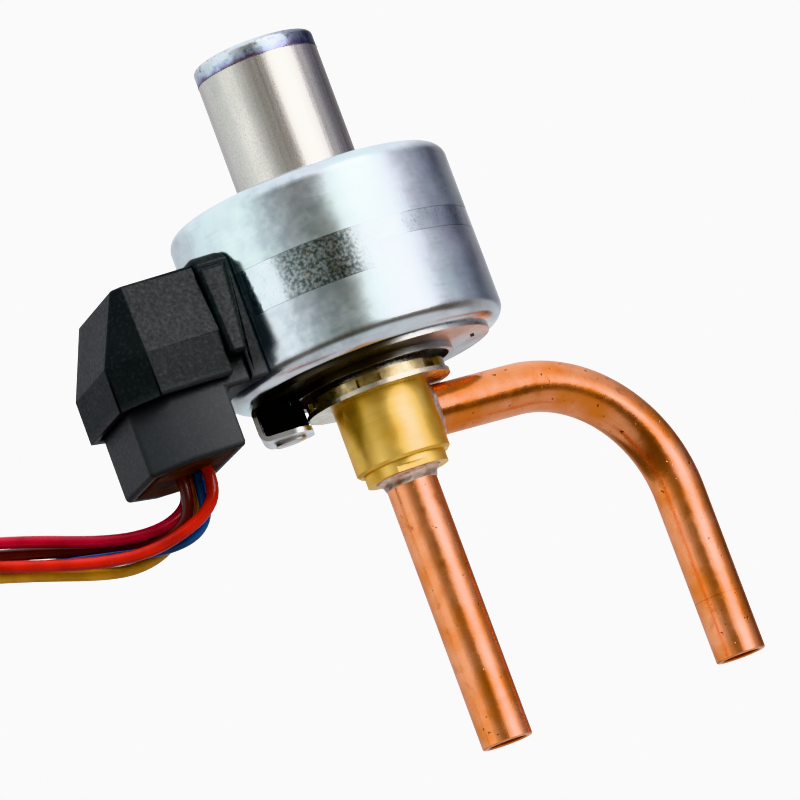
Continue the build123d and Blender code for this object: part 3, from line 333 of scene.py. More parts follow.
def along_bend(material):
    tree = material.node_tree
    place = place_of(material)
    corner = tree.nodes.new("ShaderNodeCombineXYZ")
    for axis, centre in (("X", bend_centre_out), ("Z", bend_centre_height)):
        tree.links.new(share(material, place[axis], centre, centre + 1), corner.inputs[axis])
    reach = tree.nodes.new("ShaderNodeVectorMath")
    reach.operation = "LENGTH"
    tree.links.new(corner.outputs["Vector"], reach.inputs[0])
    travel = combined(material, "SUBTRACT", place["X"], place["Z"])
    straightened = tree.nodes.new("ShaderNodeCombineXYZ")
    tree.links.new(reach.outputs["Value"], straightened.inputs["X"])
    tree.links.new(place["Y"], straightened.inputs["Y"])
    tree.links.new(travel, straightened.inputs["Z"])
    return straightened.outputs["Vector"]


def drawn_copper(name, bent=False):
    material = new_material(name, copper_clean, 0.28, 1.0)
    drawing_marks = unevenness(material, 2600, along_tube, along=along_bend(material) if bent else None)
    pits = unevenness(material, 1500, detail=2)
    mottled(material, 190, copper_dull, copper_clean, detail=5, low=0.36, high=0.58)
    stain(material, share(material, drawing_marks, 0.52, 0.76, 0, 0.4), copper_dull)
    flecked(material, 420, copper_stained, 0.60, 0.72, 0.5, detail=6)
    stain(material, share(material, pits, 0.70, 0.74), copper_pit)
    gloss(material, unevenness(material, 500, detail=5), 0.2, 0.32)
    relief(material, drawing_marks, 0.000008)
    relief(material, unevenness(material, 700), 0.00003)
    relief(material, share(material, pits, 0.70, 0.76, 1, 0), 0.00003)
    return material


bent_copper = drawn_copper("bent_copper", bent=True)
scored = bent_copper.node_tree.nodes.new("ShaderNodeMath")
scored.operation = "COMPARE"
bent_copper.node_tree.links.new(place_of(bent_copper)["Z"], scored.inputs[0])
scored.inputs[1].default_value = score_height
scored.inputs[2].default_value = score_width
stain(bent_copper, share(bent_copper, scored.outputs["Value"], 0, 1, 0, 0.6), copper_stained)
dress(bent_copper, "inlet_tube")
dress(drawn_copper("straight_copper"), "outlet_tube")

# Brass: the turned body, and inside it the guide nut and the rotor's hub. Fine rings run round them
# where the tool cut, and the torch that soldered the tubes left the colour a little cloudy.
brass_bright = (0.97, 0.65, 0.19)
brass_deep = (0.86, 0.49, 0.09)
turned_brass = new_material("turned_brass", brass_bright, 0.2, 1.0)
mottled(turned_brass, 160, brass_deep, brass_bright, detail=4, high=0.6)
turning_marks = unevenness(turned_brass, 3200, (0.03, 0.03, 1), detail=2)
stain(turned_brass, share(turned_brass, turning_marks, 0.55, 0.75, 0, 0.4), brass_deep)
gloss(turned_brass, unevenness(turned_brass, 420, detail=4), 0.34, 0.46)
relief(turned_brass, turning_marks, 0.000008)
relief(turned_brass, unevenness(turned_brass, 380), 0.00004)
dress(turned_brass, "valve_body", "guide_nut", "rotor_hub")

# Solder: a bead flowed round the root of each tube. It wets the copper and the brass unevenly and
# keeps a dull, crusty skin where the flux burnt.
tube_radius = 0.003175
body_base = 0.0343
body_radius = 0.00595
inlet_axis = 0.041
shoulder_height = 0.04427
bead_steps = 72
outlet_unevenness = 0.00012
inlet_unevenness = 0.000192
fine_lumps = 900
merge_distance = 0.000001

solder_skin = new_material("solder_skin", (0.80, 0.60, 0.50), 0.34, 1.0)
tint(solder_skin, unevenness(solder_skin, 900, detail=5), [
    (0.32, (0.42, 0.26, 0.18)), (0.46, (0.84, 0.60, 0.50)), (0.66, (0.88, 0.78, 0.72)),
])
gloss(solder_skin, unevenness(solder_skin, 1400), 0.24, 0.55)
relief(solder_skin, unevenness(solder_skin, 1700, detail=5), 0.00004)


def finish_mesh(sheet, name, material, slot, *stands_for):
    bmesh.ops.remove_doubles(sheet, verts=sheet.verts, dist=merge_distance)
    bmesh.ops.recalc_face_normals(sheet, faces=sheet.faces)
    mesh = bpy.data.meshes.new(name)
    sheet.to_mesh(mesh)
    sheet.free()
    for face in mesh.polygons:
        face.use_smooth = True
    mesh.materials.append(material)
    piece = bpy.data.objects.new(name, mesh)
    bpy.context.scene.collection.objects.link(piece)
    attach(piece, "root")
    if stands_for:
        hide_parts(*stands_for)
    return piece


def spun(profile, centre, axis, steps):
    sheet = bmesh.new()
    corners = [sheet.verts.new(point) for point in profile]
    edges = [sheet.edges.new((corner, corners[place - 1])) for place, corner in enumerate(corners)]
    bmesh.ops.spin(
        sheet, geom=corners + edges, cent=centre, axis=axis, angle=2 * pi, steps=steps, use_merge=True,
    )
    bmesh.ops.remove_doubles(sheet, verts=sheet.verts, dist=merge_distance)
    return sheet


def wander(place, broad_lumps, height):
    return (noise.noise(place * fine_lumps) + noise.noise(place * broad_lumps)) * height


outlet_profile = [
    (0.00310, 0, 0.0344), (0.00412, 0, 0.0344), (0.00412, 0, 0.03428), (0.00396, 0, 0.03416),
    (0.00376, 0, 0.03404), (0.00358, 0, 0.03388), (0.00345, 0, 0.03370), (0.00336, 0, 0.03350),
    (0.00328, 0, 0.03330), (0.00321, 0, 0.03312), (0.00314, 0, 0.03300), (0.00310, 0, 0.03300),
]
outlet_bead = spun(outlet_profile, (0, 0, 0), (0, 0, 1), bead_steps)
for corner in outlet_bead.verts:
    if corner.co.xy.length > tube_radius and corner.co.z < body_base:
        corner.co += Vector((*corner.co.xy.normalized(), -0.7)) * wander(corner.co, 300, outlet_unevenness)
finish_mesh(outlet_bead, "outlet_bead", solder_skin, "silver_solder", "outlet_solder")

inlet_profile = [
    (0.0052, 0, 0.00300), (0.0052, 0, 0.00372), (0.00598, 0, 0.00374), (0.00606, 0, 0.00364),
    (0.00612, 0, 0.00354), (0.00622, 0, 0.00344), (0.00634, 0, 0.00336), (0.00646, 0, 0.00328),
    (0.00660, 0, 0.00321), (0.00664, 0, 0.00314), (0.00662, 0, 0.00300),
]
raised_profile = [(out, side, height + inlet_axis) for out, side, height in inlet_profile]
inlet_bead = spun(raised_profile, (0, 0, inlet_axis), (1, 0, 0), bead_steps)
for corner in inlet_bead.verts:
    from_axis = Vector((0, corner.co.y, corner.co.z - inlet_axis))
    if from_axis.length > tube_radius and corner.co.x > body_radius:
        flow = from_axis.normalized() + Vector((0.5, 0, 0))
        corner.co += flow * wander(corner.co, 350, inlet_unevenness)
    corner.co.x += (body_radius ** 2 - min(corner.co.y ** 2, body_radius ** 2)) ** 0.5 - body_radius
bmesh.ops.bisect_plane(
    inlet_bead, geom=inlet_bead.verts[:] + inlet_bead.edges[:] + inlet_bead.faces[:],
    plane_co=(0, 0, shoulder_height), plane_no=(0, 0, 1), clear_outer=True,
)
bmesh.ops.holes_fill(inlet_bead, edges=[edge for edge in inlet_bead.edges if edge.is_boundary])
finish_mesh(inlet_bead, "inlet_bead", solder_skin, "silver_solder", "inlet_solder")

# Hardened steel: the seat, the needle, the lead screw and both stops, ground bright. The needle's
# holder, the hub's retainer and the nut's anchor are plain turned stainless.
ground_steel = new_material("ground_steel", (0.60, 0.61, 0.63), 0.2, 1.0)
mottled(ground_steel, 300, (0.50, 0.51, 0.53), (0.66, 0.67, 0.69))
gloss(ground_steel, unevenness(ground_steel, 3000, (0.05, 0.05, 1)), 0.14, 0.3)
relief(ground_steel, unevenness(ground_steel, 3000, (0.05, 0.05, 1)), 0.000006)
dress(ground_steel, "valve_seat", "valve_needle", "lead_screw", "fixed_stop", "moving_stop")

turned_stainless = new_material("turned_stainless", (0.64, 0.63, 0.62), 0.26, 1.0)
mottled(turned_stainless, 260, (0.54, 0.53, 0.52), (0.70, 0.69, 0.68))
gloss(turned_stainless, unevenness(turned_stainless, 2400, (0.05, 0.05, 1)), 0.18, 0.34)
relief(turned_stainless, unevenness(turned_stainless, 2400, (0.05, 0.05, 1)), 0.000008)
dress(turned_stainless, "needle_holder", "hub_retainer", "nut_anchor")

# Can: a deep-drawn stainless sleeve with fine marks along it. Its cap is laser-welded on, which left
# a thin dark seam and brown and blue colours round the cap's skirt. The cap is darker and bluer on one
# side.
can_radius = 0.007624
seam_height = 0.08724
steel_warm = (0.70, 0.66, 0.62)
steel_grey = (0.55, 0.53, 0.49)
along_can = (1, 1, 0.02)
heat_reach = 0.0024
dark_side_turn = radians(-50)
dark_side_start = 0.003
dark_side_full = 0.0066
drawn_stainless = new_material("drawn_stainless", steel_warm, 0.25, 1.0)
mottled(drawn_stainless, 140, steel_grey, steel_warm, (1, 1, 0.4), high=0.6)
can_marks = unevenness(drawn_stainless, 1700, along_can, detail=4)
stain(drawn_stainless, share(drawn_stainless, can_marks, 0.62, 0.74, 0, 0.45), (0.40, 0.35, 0.30))
speckles = unevenness(drawn_stainless, 5200, detail=2)
stain(drawn_stainless, share(drawn_stainless, speckles, 0.45, 0.75, 0, 0.6), (0.40, 0.40, 0.38))
gloss(drawn_stainless, unevenness(drawn_stainless, 1200, along_can), 0.2, 0.34)
relief(drawn_stainless, can_marks, 0.000005)
relief(drawn_stainless, speckles, 0.000008)
dress(drawn_stainless, "can_sleeve")


def towards(material, turn):
    tree = material.node_tree
    reach = tree.nodes.new("ShaderNodeVectorMath")
    reach.operation = "DOT_PRODUCT"
    tree.links.new(tree.nodes.new("ShaderNodeTexCoord").outputs["Object"], reach.inputs[0])
    reach.inputs[1].default_value = (cos(turn), sin(turn), 0)
    return reach.outputs["Value"]


heated_stainless = new_material("heated_stainless", (0.60, 0.68, 0.75), 0.24, 1.0)
above_seam = share(heated_stainless, place_of(heated_stainless)["Z"], seam_height, seam_height + heat_reach)
ragged = share(heated_stainless, unevenness(heated_stainless, 420, detail=6), 0.3, 0.7, -0.22, 0.22)
tint(heated_stainless, combined(heated_stainless, "ADD", above_seam, ragged), [
    (0.0, (0.24, 0.16, 0.14)), (0.08, (0.22, 0.20, 0.32)), (0.2, (0.38, 0.44, 0.60)),
    (0.38, (0.58, 0.66, 0.72)), (0.75, (0.68, 0.72, 0.74)), (1.0, (0.52, 0.54, 0.60)),
])
flecked(heated_stainless, 1900, (0.15, 0.13, 0.26), 0.56, 0.68, 0.75, detail=6)
# The cap is painted darker and bluer on one side.
towards_dark_side = towards(heated_stainless, dark_side_turn)
dark_side = share(heated_stainless, towards_dark_side, dark_side_start, dark_side_full, 0, 0.7)
stain(heated_stainless, dark_side, (0.10, 0.10, 0.17))
gloss(heated_stainless, unevenness(heated_stainless, 900), 0.18, 0.38)
relief(heated_stainless, unevenness(heated_stainless, 1500, detail=5), 0.00003)
dress(heated_stainless, "can_cap")

weld_oxide = new_material("weld_oxide", (0.14, 0.09, 0.08), 0.42, 1.0)
mottled(weld_oxide, 700, (0.10, 0.06, 0.06), (0.22, 0.18, 0.26), low=0.4, high=0.6)
gloss(weld_oxide, unevenness(weld_oxide, 1800), 0.3, 0.5)
relief(weld_oxide, unevenness(weld_oxide, 3000), 0.00002)
weld_radius = 0.00011
weld_sunk = 0.00008
weld_ripples = 120
ripple_height = 0.003
weld_steps = 360
weld_out = can_radius - weld_sunk
weld_profile = [
    (weld_out + weld_radius * cos(step * pi / 3), 0, seam_height + weld_radius * sin(step * pi / 3))
    for step in range(6)
]
weld = spun(weld_profile, (0, 0, 0), (0, 0, 1), weld_steps)
for corner in weld.verts:
    ripple = 1 + ripple_height * cos(weld_ripples * Vector((1, 0)).angle_signed(corner.co.xy))
    corner.co.x *= ripple
    corner.co.y *= ripple
finish_mesh(weld, "cap_weld", weld_oxide, "stainless")

# Base ring and lock ring: stainless rings under the stator, browned by the heat of the can's lower
# weld. The lock ring's tabs grip the coil's bracket, and the washer below them is paler.
browned_stainless = new_material("browned_stainless", (0.52, 0.42, 0.30), 0.3, 1.0)
tint(browned_stainless, unevenness(browned_stainless, 330, detail=5), [
    (0.3, (0.40, 0.28, 0.13)), (0.5, (0.62, 0.50, 0.28)), (0.66, (0.74, 0.66, 0.46)),
])
flecked(browned_stainless, 1500, (0.16, 0.11, 0.06), 0.5, 0.75, 0.5, detail=5)
gloss(browned_stainless, unevenness(browned_stainless, 900), 0.2, 0.42)
relief(browned_stainless, unevenness(browned_stainless, 1300, detail=4), 0.00003)
washer_top = 0.04482
washer_blend = 0.00006
ring_height = place_of(browned_stainless)["Z"]
# The ring is painted paler below the washer's top.
paler_washer = share(browned_stainless, ring_height, washer_top, washer_top + washer_blend, 0.75, 0)
stain(browned_stainless, paler_washer, (0.86, 0.80, 0.70))
dress(browned_stainless, "base_ring", "lock_ring")

# Coil bracket and needle spring: spring steel. The bracket is pressed from strip and its hook snaps
# under the lock ring. The plate's underside is painted dark as painted shade, most of all near the leads.
rolled_steel = new_material("rolled_steel", (0.66, 0.68, 0.71), 0.24, 1.0)
mottled(rolled_steel, 210, (0.72, 0.71, 0.70), (0.88, 0.89, 0.91), detail=4, high=0.62)
plate_underside = 0.0465
plate_blend = 0.0003
plate_shade_start = -0.010
plate_shade_full = -0.003
steel_height = place_of(rolled_steel)["Z"]
on_plate = share(rolled_steel, steel_height, plate_underside, plate_underside + plate_blend)
# Painted shade: the plate's underside goes nearly black on the side towards the leads.
plate_underside_shade = share(rolled_steel, towards(rolled_steel, lead_turn), plate_shade_start, plate_shade_full, 0.25, 0.96)
stain(rolled_steel, combined(rolled_steel, "MULTIPLY", on_plate, plate_underside_shade), (0.06, 0.05, 0.035))
gloss(rolled_steel, unevenness(rolled_steel, 700, (1, 0.2, 1)), 0.24, 0.42)
relief(rolled_steel, unevenness(rolled_steel, 1900, (1, 0.1, 1)), 0.000012)
dress(rolled_steel, "coil_bracket", "needle_spring")

# Hook filler: a black block under the plate that fills the bracket's hook, where it is dark.
filler_half = 0.0034
filler_edge = 0.0002
filler_profile = [
    (0.0091, 0.0440), (0.0144, 0.0440), (0.0144, 0.0475),
    (0.0104, 0.0475), (0.0104, 0.0466), (0.0091, 0.0466),
]
black_filler = new_material("black_filler", (0.006, 0.006, 0.006), 0.6)
set_shader(black_filler, "Specular IOR Level", 0.15)
mottled(black_filler, 500, (0.004, 0.004, 0.004), (0.009, 0.009, 0.009))
gloss(black_filler, unevenness(black_filler, 900), 0.5, 0.7)
relief(black_filler, unevenness(black_filler, 2400), 0.00001)
# A black block fills the hook's opening under the plate.
filler_sheet = bmesh.new()
near_corners = [filler_sheet.verts.new(beside_leads(out, -filler_half, up)) for out, up in filler_profile]
near_side = filler_sheet.faces.new(near_corners)
pulled = bmesh.ops.extrude_face_region(filler_sheet, geom=[near_side])
far_corners = [item for item in pulled["geom"] if isinstance(item, bmesh.types.BMVert)]
bmesh.ops.translate(filler_sheet, verts=far_corners, vec=beside_leads(0, 2 * filler_half, 0))
bmesh.ops.bevel(
    filler_sheet, geom=filler_sheet.edges[:], offset=filler_edge, offset_type="OFFSET", affect="EDGES", segments=2,
    profile=0.5, material=-1,
)
finish_mesh(filler_sheet, "hook_filler", black_filler, "housing_nylon")

# Rotor: a moulded ferrite magnet on its hub, running in a resin guide under the can's cap.
ferrite = new_material("ferrite", (0.09, 0.09, 0.10), 0.5)
mottled(ferrite, 500, (0.07, 0.07, 0.08), (0.12, 0.12, 0.13))
gloss(ferrite, unevenness(ferrite, 900), 0.4, 0.6)
relief(ferrite, unevenness(ferrite, 2400), 0.00002)
dress(ferrite, "rotor_magnet")
guide_resin = new_material("guide_resin", (0.16, 0.12, 0.09), 0.45)
mottled(guide_resin, 400, (0.13, 0.10, 0.07), (0.19, 0.15, 0.11))
gloss(guide_resin, unevenness(guide_resin, 800), 0.36, 0.54)
relief(guide_resin, unevenness(guide_resin, 2200), 0.00001)
dress(guide_resin, "upper_guide")

# Stator: two pressed shells and their claw yokes, zinc-plated and passivated blue. The plating goes
# lilac and green in broad patches, and one side is painted darker as a painted reflection of the dark
# tent. The yokes' rims show between the shells: sheared edges with grains, brassy sparks and one
# painted dark reflection.
zinc_blue = (0.75, 0.86, 0.90)
zinc_lilac = (0.80, 0.83, 0.90)
zinc_green = (0.74, 0.87, 0.86)
round_the_coil = (0.12, 0.12, 1)
dark_reflection_turn = radians(-134)
dark_reflection_start = 0.0160
dark_reflection_full = 0.0175
zinc_plate = new_material("zinc_plate", zinc_blue, 0.3, 1.0)
tint(zinc_plate, unevenness(zinc_plate, 75, detail=2), [
    (0.34, zinc_green), (0.46, zinc_blue), (0.6, zinc_lilac), (0.72, (0.72, 0.78, 0.80)),
])
flecked(zinc_plate, 2400, (0.50, 0.54, 0.57), 0.5, 0.8, 0.3, round_the_coil, 5)
flecked(zinc_plate, 300, (0.42, 0.47, 0.50), 0.45, 0.75, 0.5, detail=8)
mottling = share(zinc_plate, unevenness(zinc_plate, 650, detail=8), 0.35, 0.65, 0.1, 0.75)
# Painted reflection: the shells are painted darker on the side facing the camera, for the dark part of the
# tent seen in them.
painted_dark_reflection = share(zinc_plate, towards(zinc_plate, dark_reflection_turn), dark_reflection_start, dark_reflection_full)
stain(zinc_plate, combined(zinc_plate, "MULTIPLY", painted_dark_reflection, mottling), (0.42, 0.50, 0.54))
gloss(zinc_plate, unevenness(zinc_plate, 260, (0.5, 0.5, 1), 5), 0.2, 0.3)
relief(zinc_plate, unevenness(zinc_plate, 2400, round_the_coil, 4), 0.000002)
relief(zinc_plate, unevenness(zinc_plate, 220), 0.00003)
dress(zinc_plate, "lower_shell", "upper_shell")

# Painted reflection: the yokes' rims are painted dark green-black on the side facing the camera, for the
# dark part of the tent reflected in them.
rim_reflection_turn = radians(-126.5)
rim_reflection_start = 0.01675
rim_reflection_full = 0.01725
sheared_steel = new_material("sheared_steel", zinc_blue, 0.1, 1.0)
mottled(sheared_steel, 420, (0.66, 0.74, 0.78), (0.80, 0.88, 0.92), detail=5, low=0.36, high=0.6)
grains = unevenness(sheared_steel, 2600, detail=3)
stain(sheared_steel, share(sheared_steel, grains, 0.55, 0.7, 0, 0.45), (0.34, 0.38, 0.42))
rim_dark_reflection = share(sheared_steel, towards(sheared_steel, rim_reflection_turn), rim_reflection_start, rim_reflection_full)
rim_reflection_depth = share(sheared_steel, grains, 0.35, 0.6, 0.25, 0.9)
stain(sheared_steel, combined(sheared_steel, "MULTIPLY", rim_dark_reflection, rim_reflection_depth), (0.14, 0.18, 0.17))
flecked(sheared_steel, 2100, (0.85, 0.52, 0.16), 0.70, 0.73)
gloss(sheared_steel, unevenness(sheared_steel, 900, detail=5), 0.08, 0.2)
relief(sheared_steel, grains, 0.00001)
dress(sheared_steel, "lower_yoke", "upper_yoke")

# Windings and bobbins: enamelled copper wire on moulded nylon, hidden between the claws.
enamelled_wire = new_material("enamelled_wire", (0.62, 0.24, 0.10), 0.3, 0.6)
turns_of_wire = unevenness(enamelled_wire, 2600, (0.01, 0.01, 1), 1)
tint(enamelled_wire, turns_of_wire, [(0.4, (0.34, 0.10, 0.04)), (0.6, (0.72, 0.30, 0.13))])
gloss(enamelled_wire, turns_of_wire, 0.24, 0.42)
relief(enamelled_wire, turns_of_wire, 0.00006)
dress(enamelled_wire, "lower_winding", "upper_winding")
bobbin_nylon = new_material("bobbin_nylon", (0.05, 0.05, 0.055), 0.5)
mottled(bobbin_nylon, 300, (0.04, 0.04, 0.045), (0.065, 0.065, 0.07))
gloss(bobbin_nylon, unevenness(bobbin_nylon, 700), 0.42, 0.6)
relief(bobbin_nylon, unevenness(bobbin_nylon, 1800), 0.00001)
dress(bobbin_nylon, "lower_bobbin", "upper_bobbin")

# Lead housing: base and cover moulded in black glass-filled nylon, satin with a fine eroded grain.
# Handling left grey scuffs on it. Towards the bottom it is painted lighter grey, as painted light on the
# lower faces.
housing_black = new_material("housing_black", (0.013, 0.015, 0.015), 0.5)
set_shader(housing_black, "Specular IOR Level", 0.18)
mottled(housing_black, 120, (0.010, 0.012, 0.012), (0.016, 0.018, 0.018), detail=4)
scuffs = unevenness(housing_black, 2200, detail=8)
stain(housing_black, share(housing_black, scuffs, 0.5, 0.74, 0, 0.5), (0.045, 0.048, 0.05))
# Painted light: below about 51.5 mm the housing is painted lighter grey, for light falling on its lower
# faces.
lit_start = 0.0515
lit_full = 0.0495
lower_faces_lit = share(housing_black, place_of(housing_black)["Z"], lit_start, lit_full, 0, 0.55)
stain(housing_black, lower_faces_lit, (0.085, 0.088, 0.092))
gloss(housing_black, unevenness(housing_black, 2400, detail=3), 0.42, 0.54)
relief(housing_black, unevenness(housing_black, 4200, detail=2), 0.000012)
edge_round = 0.0006
plainest_edge = 0.001
facet_distance = 0.000002
flat_angle = radians(2)
crisp_angle = radians(40)


def without_facets(node):
    sheet = bmesh.new()
    sheet.from_mesh(nodes[node].data)
    bmesh.ops.remove_doubles(sheet, verts=sheet.verts, dist=facet_distance)
    bmesh.ops.dissolve_limit(sheet, angle_limit=flat_angle, verts=sheet.verts, edges=sheet.edges)
    return sheet


def moulding(node, name, shortest=0.0):
    sheet = without_facets(node)
    crisp = [edge for edge in sheet.edges if edge.is_manifold and edge.calc_face_angle(0) > crisp_angle]
    sharp = [edge for edge in crisp if edge.calc_length() > shortest]
    bmesh.ops.bevel(
        sheet, geom=sharp, offset=edge_round, offset_type="OFFSET", affect="EDGES", segments=3, profile=0.5,
        material=-1, clamp_overlap=False,
    )
    piece = finish_mesh(sheet, name, housing_black, "housing_nylon", node)
    level = piece.modifiers.new("level", "WEIGHTED_NORMAL")
    level.keep_sharp = False
    level.weight = 100
    return piece


moulding("housing_base", "base_moulding")
moulding("housing_cover", "cover_moulding", plainest_edge)

# Potting: amber resin poured into the base round the leads. It creeps a little way down each lead.
potting_amber = new_material("potting_amber", (0.06, 0.024, 0.012), 0.2)
set_shader(potting_amber, "Specular IOR Level", 0.04)
mottled(potting_amber, 260, (0.035, 0.014, 0.008), (0.09, 0.034, 0.014))
gloss(potting_amber, unevenness(potting_amber, 500), 0.5, 0.7)
relief(potting_amber, unevenness(potting_amber, 300), 0.0001)
resin_level = 0.04225
resin_edge = 0.04213
resin_lip = 0.0435
resin_inset = 0.0007
creep_reach = 0.0006
creep_overlap = 0.00005
creep_steps = 24
creep_profile = [
    (0, 0.0001), (creep_reach, 0.0001), (creep_reach, -0.00002), (creep_reach * 0.4, -0.00012),
    (creep_reach * 0.15, -0.00032), (0.00004, -0.0006), (0, -0.0006),
]
resin = without_facets("lead_potting")
surface = min(resin.faces, key=lambda face: face.calc_center_median().z)
bmesh.ops.inset_region(resin, faces=[surface], thickness=resin_inset)
for corner in surface.verts:
    corner.co.z = resin_level
for corner in resin.verts:
    if resin_level < corner.co.z < resin_lip:
        corner.co.z = resin_edge
finish_mesh(resin, "resin_fill", potting_amber, "potting_resin", "lead_potting")
for colour, lead in leads.items():
    root_place = beside_leads(*lead["route"][0])
    lead_edge = root_place + Vector((lead_diameter / 2 - creep_overlap, 0, 0))
    creep_ring = [lead_edge + Vector((reach, 0, height)) for reach, height in creep_profile]
    creep = spun(creep_ring, root_place, (0, 0, 1), creep_steps)
    finish_mesh(creep, colour + "_creep", potting_amber, "potting_resin")

# Terminals: tinned brass pins in a laminated board inside the cover, and the same tinning on the
# plug's contacts.
laminate = new_material("laminate", (0.42, 0.36, 0.14), 0.5)
mottled(laminate, 1200, (0.34, 0.28, 0.10), (0.50, 0.44, 0.20), (1, 1, 0.2))
gloss(laminate, unevenness(laminate, 900), 0.4, 0.6)
relief(laminate, unevenness(laminate, 2200), 0.00001)
dress(laminate, "terminal_board")
tinned_brass = new_material("tinned_brass", (0.76, 0.75, 0.72), 0.28, 1.0)
mottled(tinned_brass, 500, (0.64, 0.62, 0.58), (0.80, 0.79, 0.77))
gloss(tinned_brass, unevenness(tinned_brass, 900), 0.2, 0.4)
relief(tinned_brass, unevenness(tinned_brass, 1600), 0.00001)
dress(tinned_brass, "terminal_pins", "plug_contacts")

# Plug and tie: natural nylon, moulded. The plug takes the five leads' contacts; the tie holds the
# hank.
natural_nylon = new_material("natural_nylon", (0.78, 0.76, 0.68), 0.4)
mottled(natural_nylon, 200, (0.72, 0.70, 0.61), (0.82, 0.80, 0.73))
set_shader(natural_nylon, "Subsurface Weight", 0.15)
set_shader(natural_nylon, "Subsurface Radius", (0.001, 0.001, 0.0008))
gloss(natural_nylon, unevenness(natural_nylon, 800), 0.32, 0.5)
relief(natural_nylon, unevenness(natural_nylon, 2600), 0.00001)
dress(natural_nylon, "lead_plug", "lead_tie")

# Floor: a wide pale table, low enough for the hank and the plug to hang clear of it.
floor_drop = 0.06
floor_half = 3.0
table = bmesh.new()
bmesh.ops.create_grid(table, x_segments=1, y_segments=1, size=floor_half)
bmesh.ops.translate(table, verts=table.verts, vec=(0, 0, cad_low.z - floor_drop))
floor_mesh = bpy.data.meshes.new("floor")
table.to_mesh(floor_mesh)
table.free()
floor = bpy.data.objects.new("floor", floor_mesh)
bpy.context.scene.collection.objects.link(floor)
floor_paint = new_material("floor_paint", (0.82, 0.82, 0.84), 0.7)
mottled(floor_paint, 3, (0.81, 0.81, 0.83), (0.84, 0.84, 0.86), low=0.3, high=0.7)
floor_mesh.materials.append(floor_paint)
floor.visible_glossy = False
floor.visible_diffuse = False

# Light: a pale tent, dark where the camera stands, with a bright panel on its right and one lamp
# high up. Angles run round the tent from the camera; the camera itself sees plain white.
bpy.context.scene.view_settings.view_transform = "Khronos PBR Neutral"
tent_strength = 4.2
backdrop_strength = 1.9
tent_turn = radians(123)
walls = [
    (-180, (0.80, 0.82, 0.86)), (-150, (0.62, 0.62, 0.66)), (-120, (0.80, 0.84, 0.86)),
    (-90, (0.95, 1.02, 1.03)), (-66, (1.28, 1.34, 1.34)), (-50, (1.28, 1.34, 1.34)),
    (-34, (0.72, 0.74, 0.74)), (-14, (0.36, 0.36, 0.34)), (8, (0.22, 0.20, 0.17)),
    (30, (1.4, 1.4, 1.4)), (38, (4.2, 4.2, 4.2)), (60, (4.2, 4.2, 4.2)),
    (70, (0.95, 0.92, 1.00)), (90, (0.50, 0.50, 0.56)), (108, (0.30, 0.30, 0.37)),
    (130, (0.11, 0.11, 0.14)), (150, (0.30, 0.28, 0.30)), (180, (0.80, 0.82, 0.86)),
]
skirt = [
    (-180, (0.70, 0.74, 0.78)), (-150, (0.50, 0.50, 0.50)), (-120, (0.14, 0.12, 0.10)),
    (90, (0.12, 0.09, 0.06)), (125, (0.45, 0.42, 0.42)), (180, (0.70, 0.74, 0.78)),
]
world = bpy.data.worlds.new("studio")
bpy.context.scene.world = world
world.use_nodes = True
studio = world.node_tree
background = studio.nodes["Background"]
background.inputs["Strength"].default_value = tent_strength
heading = studio.nodes.new("ShaderNodeMapping")
heading.inputs["Rotation"].default_value = (0, 0, tent_turn)
sky = studio.nodes.new("ShaderNodeTexCoord")
studio.links.new(sky.outputs["Generated"], heading.inputs["Vector"])
round_tent = studio.nodes.new("ShaderNodeTexGradient")
round_tent.gradient_type = "RADIAL"
studio.links.new(heading.outputs["Vector"], round_tent.inputs["Vector"])


def tent_cloth(colours):
    cloth = studio.nodes.new("ShaderNodeValToRGB")
    cloth.color_ramp.interpolation = "EASE"
    while len(cloth.color_ramp.elements) < len(colours):
        cloth.color_ramp.elements.new(0.5)
    for element, (angle, colour) in zip(cloth.color_ramp.elements, colours):
        element.position = 0.5 + angle / 360
        element.color = (*[value / tent_strength for value in colour], 1)
    studio.links.new(round_tent.outputs["Fac"], cloth.inputs["Fac"])
    return cloth.outputs["Color"]


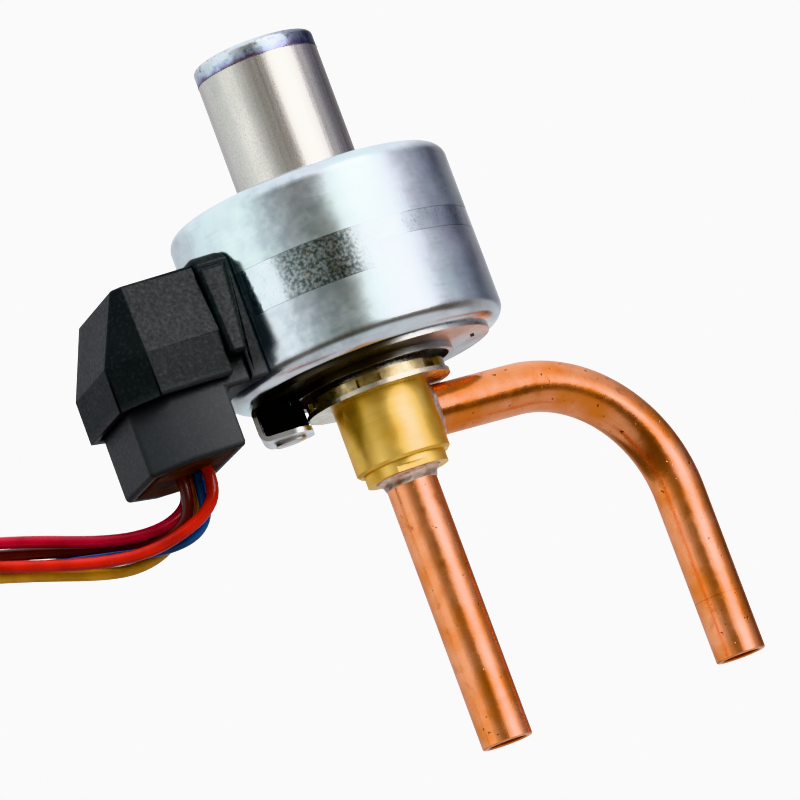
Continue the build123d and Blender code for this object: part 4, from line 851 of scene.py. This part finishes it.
tent_so_far = tent_cloth(walls)
# The roof, the skirt and the table below, each with the heights where it begins and is complete
layers = [
    (0.3, 0.75, (0.27, 0.28, 0.29, 1)),
    (-0.03, -0.12, tent_cloth(skirt)),
    (-0.5, -0.62, (0.16, 0.16, 0.16, 1)),
]
upwards = studio.nodes.new("ShaderNodeSeparateXYZ")
studio.links.new(sky.outputs["Generated"], upwards.inputs["Vector"])
for start, end, colour in layers:
    level = studio.nodes.new("ShaderNodeMapRange")
    level.inputs["From Min"].default_value = start
    level.inputs["From Max"].default_value = end
    studio.links.new(upwards.outputs["Z"], level.inputs["Value"])
    layer = studio.nodes.new("ShaderNodeMix")
    layer.data_type = "RGBA"
    studio.links.new(level.outputs["Result"], layer.inputs[0])
    studio.links.new(tent_so_far, layer.inputs[6])
    if isinstance(colour, tuple):
        layer.inputs[7].default_value = colour
    else:
        studio.links.new(colour, layer.inputs[7])
    tent_so_far = layer.outputs[2]
studio.links.new(tent_so_far, background.inputs["Color"])
backdrop = studio.nodes.new("ShaderNodeBackground")
backdrop.inputs["Color"].default_value = (1, 1, 1, 1)
backdrop.inputs["Strength"].default_value = backdrop_strength
seen = studio.nodes.new("ShaderNodeLightPath")
choice = studio.nodes.new("ShaderNodeMixShader")
studio.links.new(seen.outputs["Is Camera Ray"], choice.inputs["Fac"])
studio.links.new(background.outputs["Background"], choice.inputs[1])
studio.links.new(backdrop.outputs["Background"], choice.inputs[2])
studio.links.new(choice.outputs["Shader"], studio.nodes["World Output"].inputs["Surface"])

key_place = Vector((0.15, -0.75, 0.45))
key_aim = Vector((0, 0, 0.05))
key_side = 0.3
key_power = 5
key_lamp = bpy.data.lights.new("key_light", "AREA")
key_lamp.shape = "RECTANGLE"
key_lamp.size = key_side
key_lamp.size_y = key_side
key_lamp.energy = key_power
key_light = bpy.data.objects.new("key_light", key_lamp)
key_light.location = key_place
key_light.rotation_euler = (key_place - key_aim).to_track_quat("Z", "Y").to_euler()
bpy.context.scene.collection.objects.link(key_light)
